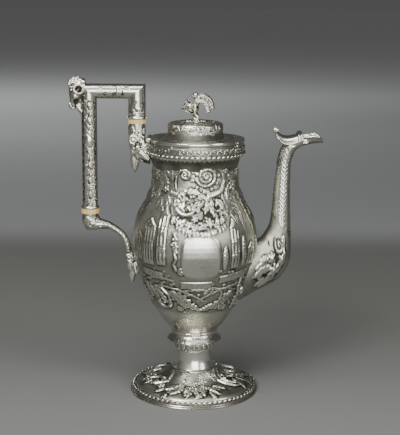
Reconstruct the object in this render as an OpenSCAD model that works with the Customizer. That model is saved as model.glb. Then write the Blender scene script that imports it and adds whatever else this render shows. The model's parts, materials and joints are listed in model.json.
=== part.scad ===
// Footed silver coffee pot with a square tube handle, ivory insulators and a let-in lid hinge.
// The axis of the pot is Z and it stands on Z = 0. The spout points to +X, the handle to -X.

/* [Foot] */
// Radius of the foot rim
foot_r = 66.2; // [58:0.1:80]
// Height of the stepped foot rim
foot_rim_h = 4.4; // [3:0.1:6]
// Diameter of the rope wire on the foot rim
foot_rope_d = 2.8; // [2:0.1:4]
// Height of the foot up to the stem
foot_h = 25.8; // [18:0.1:36]

/* [Stem] */
// Height of the stem from the foot to the ring under the body
stem_h = 36.6; // [28:0.1:46]
// Radius of the stem at its foot
stem_foot_r = 20.2; // [16:0.1:24]
// Radius of the stem at its waist
stem_waist_r = 17.4; // [14:0.1:19]
// Radius of the leaf band at the top of the stem
stem_leaf_r = 19.9; // [18:0.1:22]
// Radius of the skirt of leaves under the body
collar_r = 28.3; // [25:0.1:34]
// Depth of the skirt of leaves
collar_h = 7.4; // [5:0.1:12]
// Number of leaves in the skirt
collar_leaves = 16; // [8:2:24]

/* [Body] */
// Thickness of the raised sheet of foot, stem, body and lid
sheet = 0.9; // [0.7:0.1:1.5]
// Height of the ring between stem and body
base_ring_h = 3.2; // [2:0.1:5]
// Radius of the body at its base
body_base_r = 24; // [20:0.1:28]
// Largest radius of the body
belly_r = 63.4; // [54:0.1:78]
// Smallest radius of the neck
neck_r = 42.4; // [38:0.1:44]
// Height from the base of the body to its belly
belly_h = 88.4; // [70:0.1:110]
// Height from the belly to the neck
shoulder_h = 77; // [62:0.1:96]
// Height from the neck to the rope wire
flare_h = 18.3; // [14:0.1:24]
// Lean of the body wall at its base, from upright
base_lean = 39; // [25:1:50]

/* [Neck] */
// Outer radius of the engraved neck band
band_r = 49.2; // [46:0.1:59]
// Height of the neck band
band_h = 10.3; // [8:0.1:16]
// Diameter of the rope wire under the neck band
neck_rope_d = 3; // [2:0.1:4]
// Width of the seat ring inside the neck
seat_w = 2.2; // [1.2:0.1:3]
// Height of the seat ring
seat_h = 6; // [4:0.1:9]
// Width of the lift notch in the top edge of the band
notch_w = 7; // [4:0.5:12]
// Depth of the lift notch
notch_d = 1.5; // [0.8:0.1:2.5]
// Direction of the lift notch, from the front towards the handle
notch_turn = 24; // [10:1:45]

/* [Lid] */
// Gap between the closed lid and the neck
lid_gap = 0.3; // [0.2:0.05:0.6]
// Thickness of the lid rim
lid_rim_h = 3.5; // [2.5:0.1:5]
// Width of the lid rim moulding
lid_rim_w = 3.1; // [2:0.1:5]
// How far the lid rim stands out over the neck band
lid_overhang = 0.5; // [0:0.1:1.5]
// Radius of the drum of the lid
drum_r = 26.9; // [20:0.1:32]
// Height of the drum above the brim
drum_h = 15.6; // [10:0.1:24]
// Rounding of the top edge of the drum
drum_round = 3.8; // [2:0.1:6]
// Depth of the sleeve that drops into the neck
bezel_depth = 4.7; // [3:0.1:7]
// Gap around the sleeve
bezel_gap = 0.8; // [0.6:0.05:1.5]
// Radius of the stud that holds the finial
stud_r = 1.5; // [1:0.1:2.5]
// Height of the finial
finial_h = 30.6; // [24:0.1:38]
// Length of the stud under the finial
stud_l = 8; // [6:0.1:9]

/* [Hinge] */
// Distance of the hinge pin inside the edge of the neck band
hinge_inset = 2.7; // [2.4:0.1:4]
// Depth of the hinge pin below the top of the brim
hinge_drop = 1.1; // [0.9:0.1:1.6]
// Radius of the hinge barrel
barrel_r = 2.1; // [1.8:0.1:2.6]
// Radius of the hinge pin
pin_r = 0.9; // [0.6:0.05:1.2]
// Running gap around the pin
pin_gap = 0.05; // [0.02:0.01:0.1]
// Length of one knuckle
knuckle_l = 5.7; // [4:0.1:8]
// Gap between knuckles
knuckle_gap = 0.3; // [0.2:0.05:0.6]
// Gap between the lid and the fixed plate of the hinge
hinge_gap = 0.6; // [0.5:0.05:1]

/* [Spout] */
// Distance from the body axis out to the spout, beyond the belly
spout_out = 24.6; // [20:0.1:34]
// Height of the spout mouth above the neck band
spout_rise = 0; // [-12:0.5:20]
// Thickness of the strap at the mouth
strap_w = 1.1; // [0.8:0.1:1.4]
// Radius of one hole of the strainer
strainer_hole_r = 1.3; // [0.8:0.1:2]
// Pitch of the strainer holes
strainer_pitch = 5; // [4:0.1:8]

/* [Handle] */
// Gap between the upper socket and the neck band
handle_gap = 1.7; // [1.5:0.1:4]
// Distance between the axes of the grip and the short tube
handle_reach = 47.8; // [40:0.1:64]
// Height of the top tube's axis above the neck band
handle_rise = 49.8; // [42:0.1:64]
// Height of the lower insulator above the belly
lower_rise = 32.1; // [24:0.1:44]
// Half depth of all the handle tubes
tube_y = 7.8; // [7.4:0.1:10]
// Half width of the grip
grip_r = 7.9; // [7.6:0.1:10]
// Half width of the top tube
top_tube_r = 7.4; // [7:0.1:9]
// Half width of the short tube
short_tube_r = 8.8; // [8:0.1:10]
// Wall of the handle tubes
tube_wall = 1; // [0.7:0.1:1]
// Radius of the ferrules and of the insulators
insulator_r = 9.15; // [8.9:0.05:11]
// Thickness of the upper insulator
upper_insulator_h = 3.9; // [3:0.1:7]
// Thickness of the lower insulator
lower_insulator_h = 4.6; // [3:0.1:7]
// Height of the upper ferrule
upper_ferrule_h = 3.2; // [2.6:0.1:5]
// Height of the lower ferrule
lower_ferrule_h = 2.7; // [2:0.1:5]
// Radius of the insulator tenons
tenon_r = 6.6; // [5:0.1:6.6]
// Length of a tenon
tenon_l = 7.5; // [6:0.1:9]
// Gap around a tenon
tenon_gap = 0.05; // [0.02:0.01:0.1]
// Radius of the insulator pins
rivet_r = 0.9; // [0.7:0.05:1.1]

/* [Hidden] */

// Steps along a drawn curve and sides around a swept form
curve_steps = 10;
sweep_sides = 24;
// Solder line between a casting and the pot
solder = 0.05;
// A cut runs this far past what it cuts
past = 1;

// Heights
stem_z = foot_h;
ring_z = foot_h + stem_h;
base_z = ring_z + base_ring_h;
belly_z = base_z + belly_h;
neck_z = belly_z + shoulder_h;
band_z = neck_z + flare_h;
rim_z = band_z + band_h;
lid_z = rim_z + lid_gap;
brim_z = lid_z + lid_rim_h;
drum_z = brim_z + drum_h;

// Radii of the neck and lid
lip_r = band_r - 1.5;
seat_r = lip_r - sheet - seat_w;
bezel_r = seat_r - bezel_gap;
lid_r = band_r + lid_overhang;

// Hinge
hinge_x = -(band_r - hinge_inset);
hinge_z = brim_z - hinge_drop;
lid_cut_x = hinge_x + barrel_r + hinge_gap;
knuckle_pitch = knuckle_l + knuckle_gap;

// Handle axes
socket_r = 7.9;
short_x = -(band_r + handle_gap + socket_r - 0.2);
grip_x = short_x - handle_reach;
top_z = rim_z + handle_rise;
upper_z = rim_z + 18;
lower_z = belly_z + lower_rise;

// ---------- shared shapes ----------

// Points along a cubic curve with two handles
function bezier(p, steps = curve_steps) = [for (i = [0:steps]) let (t = i / steps)
    pow(1 - t, 3) * p[0] + 3 * pow(1 - t, 2) * t * p[1] + 3 * (1 - t) * t * t * p[2] + pow(t, 3) * p[3]];

// A smooth run through every row of a list
function spline(p, steps) = concat([for (i = [0:len(p) - 2]) for (k = [0:steps - 1])
    let (t = k / steps, a = p[max(i - 1, 0)], b = p[i], c = p[i + 1], d = p[min(i + 2, len(p) - 1)])
    0.5 * (2 * b + (c - a) * t + (2 * a - 5 * b + 4 * c - d) * t * t
        + (3 * b - a - 3 * c + d) * t * t * t)], [p[len(p) - 1]]);

function reversed(p) = [for (i = [len(p) - 1:-1:0]) p[i]];

function unit(v) = v / norm(v);

// The outline moved towards the axis by a wall
function inset(p, wall) = [for (i = [0:len(p) - 1])
    let (t = unit(p[min(i + 1, len(p) - 1)] - p[max(i - 1, 0)])) p[i] + wall * [-t[1], t[0]]];

// The stations of a sweep, moved in the plane of the pot by an offset
function moved(rows, x, z) = [for (r = rows) r + [x, z, x, z, 0]];

// A station is [x, z] of one edge, [x, z] of the other edge, and half the depth along Y
function ring_axis(s) = [s[2] - s[0], 0, s[3] - s[1]] / 2;
function ring_centre(s) = [s[2] + s[0], 0, s[3] + s[1]] / 2;
function runs_forward(s) = let (a = ring_axis(s[0]), d = ring_centre(s[1]) - ring_centre(s[0]))
    a[0] * d[2] - a[2] * d[0] > 0;
function ring(s, wall, turn, sides) = let (a = ring_axis(s), k = 1 - wall / norm(a))
    [for (j = [0:sides - 1]) let (f = turn * 360 * j / sides)
        ring_centre(s) + k * a * cos(f) + [0, (s[4] - wall) * sin(f), 0]];

// Stations along an arc in the plane of the pot, with a round section that tapers
function arc_rows(centre, r, from, to, thick, tip, steps) = [for (i = [0:steps])
    let (a = from + (to - from) * i / steps, t = thick + (tip - thick) * i / steps)
    [centre[0] + (r - t) * cos(a), centre[1] + (r - t) * sin(a),
        centre[0] + (r + t) * cos(a), centre[1] + (r + t) * sin(a), t]];

// Solid swept through elliptical stations
module sweep_solid(rows, wall = 0, sides = sweep_sides) {
    turn = runs_forward(rows) ? 1 : -1;
    last = len(rows) - 1;
    points = [for (s = rows) each ring(s, wall, turn, sides)];
    walls = [for (i = [0:last - 1]) for (j = [0:sides - 1]) let (n = (j + 1) % sides)
        [i * sides + j, (i + 1) * sides + j, (i + 1) * sides + n, i * sides + n]];
    start = [[for (j = [0:sides - 1]) j]];
    end = [[for (j = [sides - 1:-1:0]) last * sides + j]];
    polyhedron(points, concat(walls, start, end), convexity = 6);
}

// Pipe swept through elliptical stations, open at both ends
module sweep_pipe(rows, wall, sides = sweep_sides) {
    turn = runs_forward(rows) ? 1 : -1;
    last = len(rows) - 1;
    count = len(rows) * sides;
    points = concat([for (s = rows) each ring(s, 0, turn, sides)],
        [for (s = rows) each ring(s, wall, turn, sides)]);
    outside = [for (i = [0:last - 1]) for (j = [0:sides - 1]) let (n = (j + 1) % sides)
        [i * sides + j, (i + 1) * sides + j, (i + 1) * sides + n, i * sides + n]];
    inside = [for (i = [0:last - 1]) for (j = [0:sides - 1]) let (n = (j + 1) % sides)
        [count + i * sides + j, count + i * sides + n,
            count + (i + 1) * sides + n, count + (i + 1) * sides + j]];
    start = [for (j = [0:sides - 1]) let (n = (j + 1) % sides) [j, n, count + n, count + j]];
    top = last * sides;
    end = [for (j = [0:sides - 1]) let (n = (j + 1) % sides)
        [top + j, count + top + j, count + top + n, top + n]];
    polyhedron(points, concat(outside, inside, start, end), convexity = 8);
}

// Half pipe swept through stations: the first edge is open, the second is its keel or ridge
function trough_ring(s, wall, turn, sides) =
    let (a = [s[2] - s[0], 0, s[3] - s[1]], k = 1 - wall / norm(a))
    [for (j = [0:sides]) let (f = 180 * j / sides)
        [s[0], 0, s[1]] + k * a * sin(f) + [0, turn * (s[4] - wall) * cos(f), 0]];
module sweep_trough(rows, wall, sides = 14) {
    turn = runs_forward(rows) ? 1 : -1;
    last = len(rows) - 1;
    around = 2 * (sides + 1);
    points = [for (s = rows) each concat(trough_ring(s, 0, -turn, sides),
        reversed(trough_ring(s, wall, -turn, sides)))];
    walls = [for (i = [0:last - 1]) for (j = [0:around - 1]) let (n = (j + 1) % around)
        [i * around + j, (i + 1) * around + j, (i + 1) * around + n, i * around + n]];
    start = [for (j = [0:sides - 1]) [j, j + 1, around - 2 - j, around - 1 - j]];
    far = last * around;
    end = [for (j = [0:sides - 1]) [far + j, far + around - 1 - j, far + around - 2 - j, far + j + 1]];
    polyhedron(points, concat(walls, start, end), convexity = 8);
}

// Round wire laid in a ring
module ring_wire(r, d, z) {
    translate([0, 0, z])
        rotate_extrude($fn = 128)
            translate([r, 0])
                circle(d = d, $fn = 32);
}

// Tube or rod along Y through a point of the handle
module rod_y(x, z, r, half) {
    translate([x, half, z])
        rotate([90, 0, 0])
            cylinder(h = 2 * half, r = r, $fn = 32);
}

// A rosette of round petals about a bead, lying on the face Y = 0 and facing +Y
module rosette(r, petals) {
    petal_r = r * 0.36;
    intersection() {
        union() {
            sphere(r = r * 0.42, $fn = 24);
            for (i = [0:petals - 1])
                rotate([0, 360 * i / petals, 0])
                    translate([r - petal_r, 0, 0])
                        sphere(r = petal_r, $fn = 24);
            rotate([-90, 0, 0])
                cylinder(h = r * 0.16, r = r * 0.72, $fn = 48);
        }
        rotate([-90, 0, 0])
            cylinder(h = r, r = 2 * r, $fn = 48);
    }
}

// ---------- outlines ----------

base_handle = 52;
belly_handle = 4;
body_outline = concat(
    bezier([[body_base_r, base_z],
        [body_base_r + base_handle * sin(base_lean), base_z + base_handle * cos(base_lean)],
        [belly_r, belly_z - belly_handle], [belly_r, belly_z]], 16),
    [for (p = bezier([[belly_r, belly_z], [belly_r, belly_z + shoulder_h * 0.55],
        [neck_r, neck_z - shoulder_h * 0.48], [neck_r, neck_z]], 16)) if (p[1] > belly_z) p],
    [for (p = bezier([[neck_r, neck_z], [neck_r, neck_z + 1], [lip_r - 7.9, band_z - 10.2],
        [lip_r, band_z]])) if (p[1] > neck_z) p]);

// Radius of the body's outside at a height
wall_table = [for (p = body_outline) [p[1], p[0]]];
function wall_r(z) = lookup(z, wall_table);

// Everything of the pot's turned form that a casting is soldered to
module vessel_envelope(gap) {
    rotate_extrude($fn = 128)
        polygon(concat([[0, base_z]], inset(body_outline, -gap),
            [[band_r + gap, band_z], [band_r + gap, rim_z + past], [0, rim_z + past]]));
    ring_wire(lip_r + neck_rope_d / 2 + gap, neck_rope_d + 2 * gap, band_z);
}

// ---------- foot and stem ----------

foot_rim_w = 6.6;
rope_inset = 3;
rim_in_r = foot_r - foot_rim_w;
rope_seat_r = foot_r - rope_inset;
module foot_rim() {
    step = foot_rim_h / 4;
    color("silver")
        rotate_extrude($fn = 128)
            polygon([[rim_in_r, 0], [foot_r, 0], [foot_r, step], [foot_r - 0.3, 1.4 * step],
                [foot_r - 1, 1.6 * step], [foot_r - 1, 2.4 * step], [foot_r - 1.3, 2.8 * step],
                [foot_r - 2, 3 * step], [foot_r - 2, foot_rim_h], [rim_in_r, foot_rim_h]]);
}

module foot_rope_wire() {
    color("silver")
        ring_wire(rope_seat_r, foot_rope_d, foot_rim_h + foot_rope_d / 2);
}

foot_edge_r = rope_seat_r - foot_rope_d / 2 - 0.3;
// The dome of the foot turns into its neck here
foot_turn = [(foot_edge_r + stem_foot_r) / 2, foot_rim_h + 9.2];
foot_outline = concat(
    bezier([[foot_edge_r, foot_rim_h], [foot_edge_r - 1, foot_rim_h + 5],
        [foot_edge_r - 10, foot_rim_h + 7], foot_turn]),
    [for (p = bezier([foot_turn, [stem_foot_r + 11, foot_rim_h + 11], [stem_foot_r + 4, stem_z - 5],
        [stem_foot_r + 0.6, stem_z]])) if (p[0] < foot_turn[0]) p]);
module foot() {
    hole_r = stem_foot_r - 3 * sheet;
    color("silver")
        rotate_extrude($fn = 128)
            polygon(concat(foot_outline, [[hole_r, stem_z], [hole_r, stem_z - sheet]],
                reversed([for (p = inset(foot_outline, sheet)) if (p[0] > hole_r && p[1] > foot_rim_h
                    && p[1] < stem_z - sheet) p]),
                [[foot_edge_r - sheet, foot_rim_h]]));
}

leaf_band_h = 9;
leaf_band_z = ring_z - collar_h - leaf_band_h;
stem_outline = concat(
    bezier([[stem_foot_r, stem_z], [stem_foot_r - 2, stem_z + 5],
        [stem_waist_r, stem_z + 7], [stem_waist_r, stem_z + 11]]),
    bezier([[stem_waist_r, stem_z + 12], [stem_waist_r, leaf_band_z - 4],
        [stem_waist_r + 0.2, leaf_band_z - 2], [stem_waist_r + 0.9, leaf_band_z - 1]]),
    [[stem_leaf_r - 0.4, leaf_band_z], [stem_leaf_r, leaf_band_z + 1],
        [stem_leaf_r, ring_z - 1], [stem_leaf_r - 0.6, ring_z]]);
module stem() {
    color("silver")
        rotate_extrude($fn = 96)
            polygon(concat(stem_outline, reversed([for (p = stem_outline) p - [sheet, 0]])));
}

module body_base_ring() {
    color("silver")
        rotate_extrude($fn = 96) {
            translate([body_base_r - base_ring_h / 2, ring_z + base_ring_h / 2])
                circle(d = base_ring_h, $fn = 32);
            translate([stem_waist_r - sheet, ring_z])
                square([body_base_r - base_ring_h / 2 - stem_waist_r + sheet, base_ring_h]);
        }
}

// The skirt hangs from the ring and is cut into leaves along its lower edge. A notch takes this share
// of the width of a leaf, and its centre lies this share of its radius below the edge
notch_share = 0.34;
notch_drop = 0.45;
notch_reach = 6;
module leaf_collar() {
    skirt = bezier([[collar_r, ring_z - collar_h], [collar_r - 3, ring_z - collar_h + 3.4],
        [body_base_r - 0.6, ring_z - 4], [body_base_r - base_ring_h / 2, ring_z]]);
    notch_r = PI * collar_r / collar_leaves * notch_share;
    color("silver")
        difference() {
            rotate_extrude($fn = 96)
                polygon(concat(skirt, [[stem_leaf_r + solder, ring_z],
                    [stem_leaf_r + solder, ring_z - sheet]],
                    reversed([for (p = inset(skirt, sheet)) if (p[1] < ring_z - sheet
                        && p[1] > ring_z - collar_h && p[0] > stem_leaf_r + solder) p]),
                    [[collar_r - 1.5 * sheet, ring_z - collar_h]]));
            for (i = [0:collar_leaves - 1])
                rotate([0, 0, 360 * (i + 0.5) / collar_leaves])
                    translate([collar_r - notch_reach, 0, ring_z - collar_h - notch_r * notch_drop])
                        rotate([0, 90, 0])
                            cylinder(h = 2 * notch_reach, r = notch_r, $fn = 24);
        }
}

// ---------- body and neck ----------

// The strainer is a lozenge of holes, drilled along X through the wall behind the spout
strainer_z = belly_z - 16;
strainer_rows = 4;
strainer_columns = 2;
strainer_depth = 18;
module strainer_holes() {
    for (i = [-strainer_rows:strainer_rows]) for (j = [-strainer_columns:strainer_columns])
        if (abs(i) + abs(j) <= strainer_rows)
            translate([belly_r - strainer_depth, strainer_pitch * (j + (i % 2) / 2),
                strainer_z + strainer_pitch * i])
                rotate([0, 90, 0])
                    cylinder(h = 2 * strainer_depth, r = strainer_hole_r, $fn = 16);
}

module body() {
    inner = [for (p = inset(body_outline, sheet)) if (p[1] > base_z + sheet && p[1] < band_z) p];
    color("silver")
        difference() {
            rotate_extrude($fn = 128)
                polygon(concat([[0, base_z]], body_outline,
                    [[lip_r, rim_z], [lip_r - sheet, rim_z], [lip_r - sheet, band_z]],
                    reversed(inner), [[0, base_z + sheet]]));
            strainer_holes();
        }
}

module neck_band() {
    color("silver")
        difference() {
            rotate_extrude($fn = 128)
                polygon([[lip_r, band_z + neck_rope_d / 2], [band_r, band_z + neck_rope_d / 2],
                    [band_r, rim_z], [lip_r, rim_z]]);
            rotate([0, 0, 270 - notch_turn])
                translate([lip_r - past, -notch_w / 2, rim_z - notch_d])
                    cube([band_r - lip_r + 2 * past, notch_w, notch_d + past]);
        }
}

module neck_rope_wire() {
    color("silver")
        ring_wire(lip_r + neck_rope_d / 2, neck_rope_d, band_z);
}

module lid_seat_ring() {
    color("silver")
        rotate_extrude($fn = 128)
            polygon([[seat_r, rim_z - seat_h + seat_w], [lip_r - sheet, rim_z - seat_h],
                [lip_r - sheet, rim_z], [seat_r, rim_z]]);
}

// ---------- lid ----------

// Everything of the lid stops at a straight edge in front of the hinge
module hinge_cut() {
    translate([-2 * lid_r + lid_cut_x, -lid_r, lid_z - bezel_depth - past])
        cube([2 * lid_r, 2 * lid_r, bezel_depth + lid_rim_h + 2 * past]);
}

drum_outline = concat([[drum_r + 1.4, brim_z], [drum_r + 0.4, brim_z + 0.5], [drum_r, brim_z + 1.6]],
    [for (i = [0:8]) let (a = 90 * i / 8)
        [drum_r - drum_round * (1 - cos(a)), drum_z - drum_round * (1 - sin(a))]]);
module lid() {
    brim_r = lid_r - lid_rim_w;
    color("silver")
        difference() {
            rotate_extrude($fn = 128)
                polygon(concat([[brim_r, brim_z - sheet], [brim_r, brim_z]], drum_outline,
                    [[stud_r + pin_gap, drum_z], [stud_r + pin_gap, drum_z - sheet]],
                    reversed([for (p = drum_outline) if (p[1] > brim_z + 1)
                        [p[0] - sheet, min(p[1], drum_z - sheet)]]),
                    [[drum_r - sheet, brim_z - sheet]]));
            hinge_cut();
        }
}

lid_edge_r = 0.5;
module lid_rim() {
    edge = lid_rim_h / 2;
    color("silver")
        difference() {
            rotate_extrude($fn = 128)
                polygon(concat([[lid_r - lid_rim_w, lid_z], [lid_r - lid_edge_r, lid_z]],
                    [for (i = [-3:3]) let (a = 30 * i)
                        [lid_r - lid_edge_r * (1 - cos(a)), lid_z + edge + (edge - 0.1) * sin(a)]],
                    [[lid_r - lid_edge_r, brim_z], [lid_r - lid_rim_w, brim_z]]));
            hinge_cut();
        }
}

module lid_bezel() {
    color("silver")
        rotate_extrude($fn = 128)
            polygon([[bezel_r - sheet, lid_z - bezel_depth + 0.6], [bezel_r - 0.5, lid_z - bezel_depth],
                [bezel_r, lid_z - bezel_depth + 0.8], [bezel_r, brim_z - sheet],
                [bezel_r - sheet, brim_z - sheet]]);
}

// A cast spray: a leafy foot, a stem, a blossom towards the handle and a plume over the spout side
plume_x = 8.8;
plume_r = 9.2;
plume_thick = 2.2;
plume_tip = 1.3;
plume_from = 184;
plume_to = -20;
blossom_tilt = 62;
module finial() {
    blossom_z = drum_z + finial_h * 0.55 - 4.5;
    plume_z = drum_z + finial_h * 0.54;
    color("silver") {
        translate([0, 0, drum_z - stud_l])
            cylinder(h = stud_l, r = stud_r, $fn = 32);
        translate([0, 0, drum_z])
            rotate_extrude($fn = 48)
                polygon([[0, 0], [8.2, 0], [8.2, 0.5], [5.6, 1.6], [3.6, 3], [2.3, 5], [1.9, 8],
                    [1.9, finial_h * 0.62], [2.4, finial_h * 0.78], [2.9, finial_h * 0.86],
                    [2.4, finial_h * 0.94], [1.1, finial_h * 0.985], [0, finial_h]]);
        sweep_solid(arc_rows([plume_x, plume_z], plume_r, plume_from, plume_to,
            plume_thick, plume_tip, 12), 0, 14);
        translate([-1, 0, blossom_z])
            rotate([0, -blossom_tilt, 0])
                rotate_extrude($fn = 32)
                    polygon([[0, 0], [1.6, 0], [2.4, 5], [3.2, 8.5], [5.6, 13], [5.2, 13.4], [0, 10.5]]);
    }
}

washer_h = 0.8;
washer_r = 5;
nut_h = 3;
nut_r = 3.8;

// A disc on the finial's stud, with its top at a height. Six sides make a nut of it
module on_stud(top, h, r, sides) {
    color("silver")
        translate([0, 0, top - h])
            difference() {
                cylinder(h = h, r = r, $fn = sides);
                translate([0, 0, -past])
                    cylinder(h = h + 2 * past, r = stud_r + pin_gap, $fn = 32);
            }
}

module finial_washer() {
    on_stud(drum_z - sheet, washer_h, washer_r, 48);
}

module finial_nut() {
    on_stud(drum_z - sheet - washer_h, nut_h, nut_r, 6);
}

// ---------- hinge ----------

// Knuckles are counted along Y from the middle one, which belongs to the pot
module knuckle(i, bore) {
    translate([hinge_x, i * knuckle_pitch + knuckle_l / 2, hinge_z])
        rotate([90, 0, 0])
            difference() {
                cylinder(h = knuckle_l, r = barrel_r, $fn = 48);
                translate([0, 0, -past])
                    cylinder(h = knuckle_l + 2 * past, r = bore, $fn = 32);
            }
}

// The fixed wing carries on the circle of the lid rim behind the hinge
module hinge_plate() {
    barrel_half = 2 * knuckle_pitch + knuckle_l / 2;
    wing_in_x = hinge_x + barrel_r;
    slot_half = knuckle_l / 2 + knuckle_gap;
    color("silver") {
        difference() {
            intersection() {
                translate([0, 0, rim_z])
                    cylinder(h = brim_z - rim_z, r = lid_r, $fn = 128);
                translate([-2 * lid_r + wing_in_x, -lid_r, rim_z])
                    cube([2 * lid_r, 2 * lid_r, brim_z - rim_z]);
            }
            translate([0, 0, rim_z - past])
                cylinder(h = brim_z - rim_z + 2 * past, r = seat_r + solder, $fn = 128);
            for (i = [-1, 1])
                translate([hinge_x - barrel_r - hinge_gap, i * knuckle_pitch - slot_half, rim_z + solder])
                    cube([4 * barrel_r, 2 * slot_half, 2 * lid_rim_h]);
            rod_y(hinge_x, hinge_z, pin_r + pin_gap, barrel_half + past);
            translate([hinge_x, 0, hinge_z])
                for (i = [-2, 0, 2])
                    translate([-barrel_r, i * knuckle_pitch - knuckle_l / 2, 0])
                        cube([3 * barrel_r, knuckle_l, 2 * barrel_r]);
        }
        for (i = [-2, 0, 2])
            knuckle(i, pin_r + pin_gap);
    }
}

module hinge_lid_knuckles() {
    color("silver")
        for (i = [-1, 1])
            difference() {
                union() {
                    knuckle(i, pin_r + pin_gap);
                    translate([hinge_x, i * knuckle_pitch - knuckle_l / 2, brim_z - sheet])
                        cube([lid_cut_x - hinge_x, knuckle_l, sheet]);
                }
                rod_y(hinge_x, hinge_z, pin_r + pin_gap, 3 * knuckle_pitch);
            }
}

module hinge_pin() {
    color("silver")
        rod_y(hinge_x, hinge_z, pin_r, 2 * knuckle_pitch + knuckle_l / 2);
}

// ---------- spout ----------

// Stations of the root. The inner edge is measured from [belly_r, belly_z]. The outer edge's x is
// measured from the wall at its own height, and its z from belly_z
root_rows = [
    [-7.4, 3.5, -1.8, -62, 25], [-2.9, 4.6, 6.6, -54.7, 22.5], [1.2, 6.3, 14.7, -48.2, 19.5],
    [5.2, 9.4, 24.1, -41.7, 17.5], [8.2, 14.2, 32.1, -33.6, 16], [11.2, 19.4, 37, -21, 14.5],
    [12.9, 25.7, 35.9, -7, 12.5], [13.9, 32.9, 34.6, 9, 11], [14.5, 40, 34, 28, 9.9],
    [15.2, 50.5, 33.1, 48, 9], [16.7, 70, 32.8, 69, 8]];
// Stations of the bend, measured from the belly and from the top of the neck band
spout_bend = [
    [17.9, -22.6, 32.9, -23.6, 7.5], [19.4, -14.6, 34, -17.1, 7.4], [21.2, -8.6, 35.8, -11.1, 7.5],
    [23.6, -3.6, 38.6, -7.2, 7.7], [26.9, 0.8, 41.2, -5.3, 8], [31.2, 4.2, 43.2, -4.3, 8.2],
    [36.1, 6.6, 44.6, -3.6, 8.3], [40.4, 8, 45.6, -3.2, 8.4]];
beak_rows = [
    [42.1, 4.6, 45.9, -3.3, 8.4], [46.4, 6.1, 49.1, -2.4, 9.6], [50.8, 7.9, 52.6, -1.5, 11.3],
    [55.4, 9.1, 56.2, -0.9, 12.3], [59.2, 8.3, 59.5, -0.5, 11.6], [62.4, 5.4, 62.3, -0.3, 9.3],
    [64.4, 1.8, 64.3, -0.1, 5.2]];
hood_rows = [
    [17.3, 10.4, 18.4, 12.6, 2], [17.9, 7.6, 19.9, 10.2, 5], [19.6, 4.6, 22.4, 8.2, 7.6],
    [23.1, 1, 25.9, 7.3, 9], [27.1, -0.8, 29.4, 7.4, 9.4], [32.1, -0.7, 33.4, 8.6, 9.6],
    [37.1, 1, 36.9, 10.4, 9.7], [41, 2.8, 39.8, 11.3, 9.7]];
// The last two stations of the hood as a whole oval, with the open edge in the middle
hood_core = [for (i = [len(hood_rows) - 2:len(hood_rows) - 1]) let (r = hood_rows[i])
    [2 * r[0] - r[2], 2 * r[1] - r[3], r[2], r[3], r[4]]];
strap_rows = [[40.3, 1.6, 38.9, 12.7, 11], [42.9, 2.4, 41.3, 13.3, 11]];

// The stations are drawn for these distances and stretch with the real ones
drawn_out = 24.6;
drawn_belly_h = 88.4;
drawn_rise = 105.6;
free_row = 5;
mouth_x = belly_r + spout_out - drawn_out;
mouth_z = rim_z + spout_rise;
root_down = belly_h / drawn_belly_h;
root_up = (mouth_z - belly_z) / drawn_rise;
function root_z(z) = belly_z + z * (z < 0 ? root_down : root_up);
spout_root = [for (i = [0:len(root_rows) - 1])
    let (r = root_rows[i], out = min(i / free_row, 1) * (spout_out - drawn_out), z = root_z(r[3]))
    [belly_r + out + r[0], root_z(r[1]), (r[3] < 0 ? wall_r(z) : belly_r) + out + r[2], z, r[4]]];
spout_rows = concat(spline(spout_root, 2), spline(moved(spout_bend, mouth_x, mouth_z), 2));

// The spout is raised as two half shells, soldered to each other along the middle plane of the pot
module spout_near_half() {
    side = 2 * mouth_z;
    color("silver")
        intersection() {
            difference() {
                sweep_pipe(spout_rows, sheet);
                vessel_envelope(solder);
            }
            translate([0, -side, 0])
                cube(side);
        }
}

module spout_far_half() {
    mirror([0, 1, 0])
        spout_near_half();
}

module spout_beak() {
    color("silver")
        sweep_trough(spline(moved(beak_rows, mouth_x, mouth_z), 3), sheet);
}

module spout_hood() {
    color("silver")
        difference() {
            sweep_trough(spline(moved(hood_rows, mouth_x, mouth_z), 3), sheet);
            sweep_solid(spline(moved(spout_bend, mouth_x, mouth_z), 2), -solder);
        }
}

module spout_strap() {
    color("silver")
        difference() {
            sweep_trough(moved(strap_rows, mouth_x, mouth_z), strap_w);
            sweep_solid(moved(hood_core, mouth_x, mouth_z), -solder);
        }
}

// ---------- handle ----------

grip_end_z = lower_z + lower_insulator_h + lower_ferrule_h;
short_end_z = upper_z + upper_insulator_h + upper_ferrule_h;
// Places of the four pins and how far their heads stand out
short_pin = [short_x + 1, short_end_z + 1.6];
ferrule_pin_z = short_end_z - upper_ferrule_h / 2;
grip_pin = [grip_x, grip_end_z + 2];
socket_pin = [grip_x, lower_z - 2.4];
head_out = 0.4;
// A socket is bored this much deeper than the tenon, and the tenon in a tube is this much shorter
tenon_room = 0.5;
tenon_short = 2;
ferrule_round = 0.8;
grip_corner = [grip_x + grip_r, top_z - top_tube_r, grip_x - grip_r, top_z + top_tube_r, tube_y];
short_corner = [short_x - short_tube_r, top_z - top_tube_r, short_x + short_tube_r,
    top_z + top_tube_r, tube_y];

module handle_grip() {
    color("silver")
        difference() {
            sweep_pipe([[grip_x + grip_r, grip_end_z, grip_x - grip_r, grip_end_z, tube_y], grip_corner],
                tube_wall);
            rod_y(grip_pin[0], grip_pin[1], rivet_r + tenon_gap, 2 * tube_y);
        }
}

module handle_top_tube() {
    color("silver")
        sweep_pipe([grip_corner, short_corner], tube_wall);
}

module handle_short_tube() {
    color("silver")
        difference() {
            sweep_pipe([short_corner, [short_x - short_tube_r, short_end_z, short_x + short_tube_r,
                short_end_z, tube_y]], tube_wall);
            rod_y(short_pin[0], short_pin[1], rivet_r + tenon_gap, 2 * tube_y);
        }
}

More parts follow.
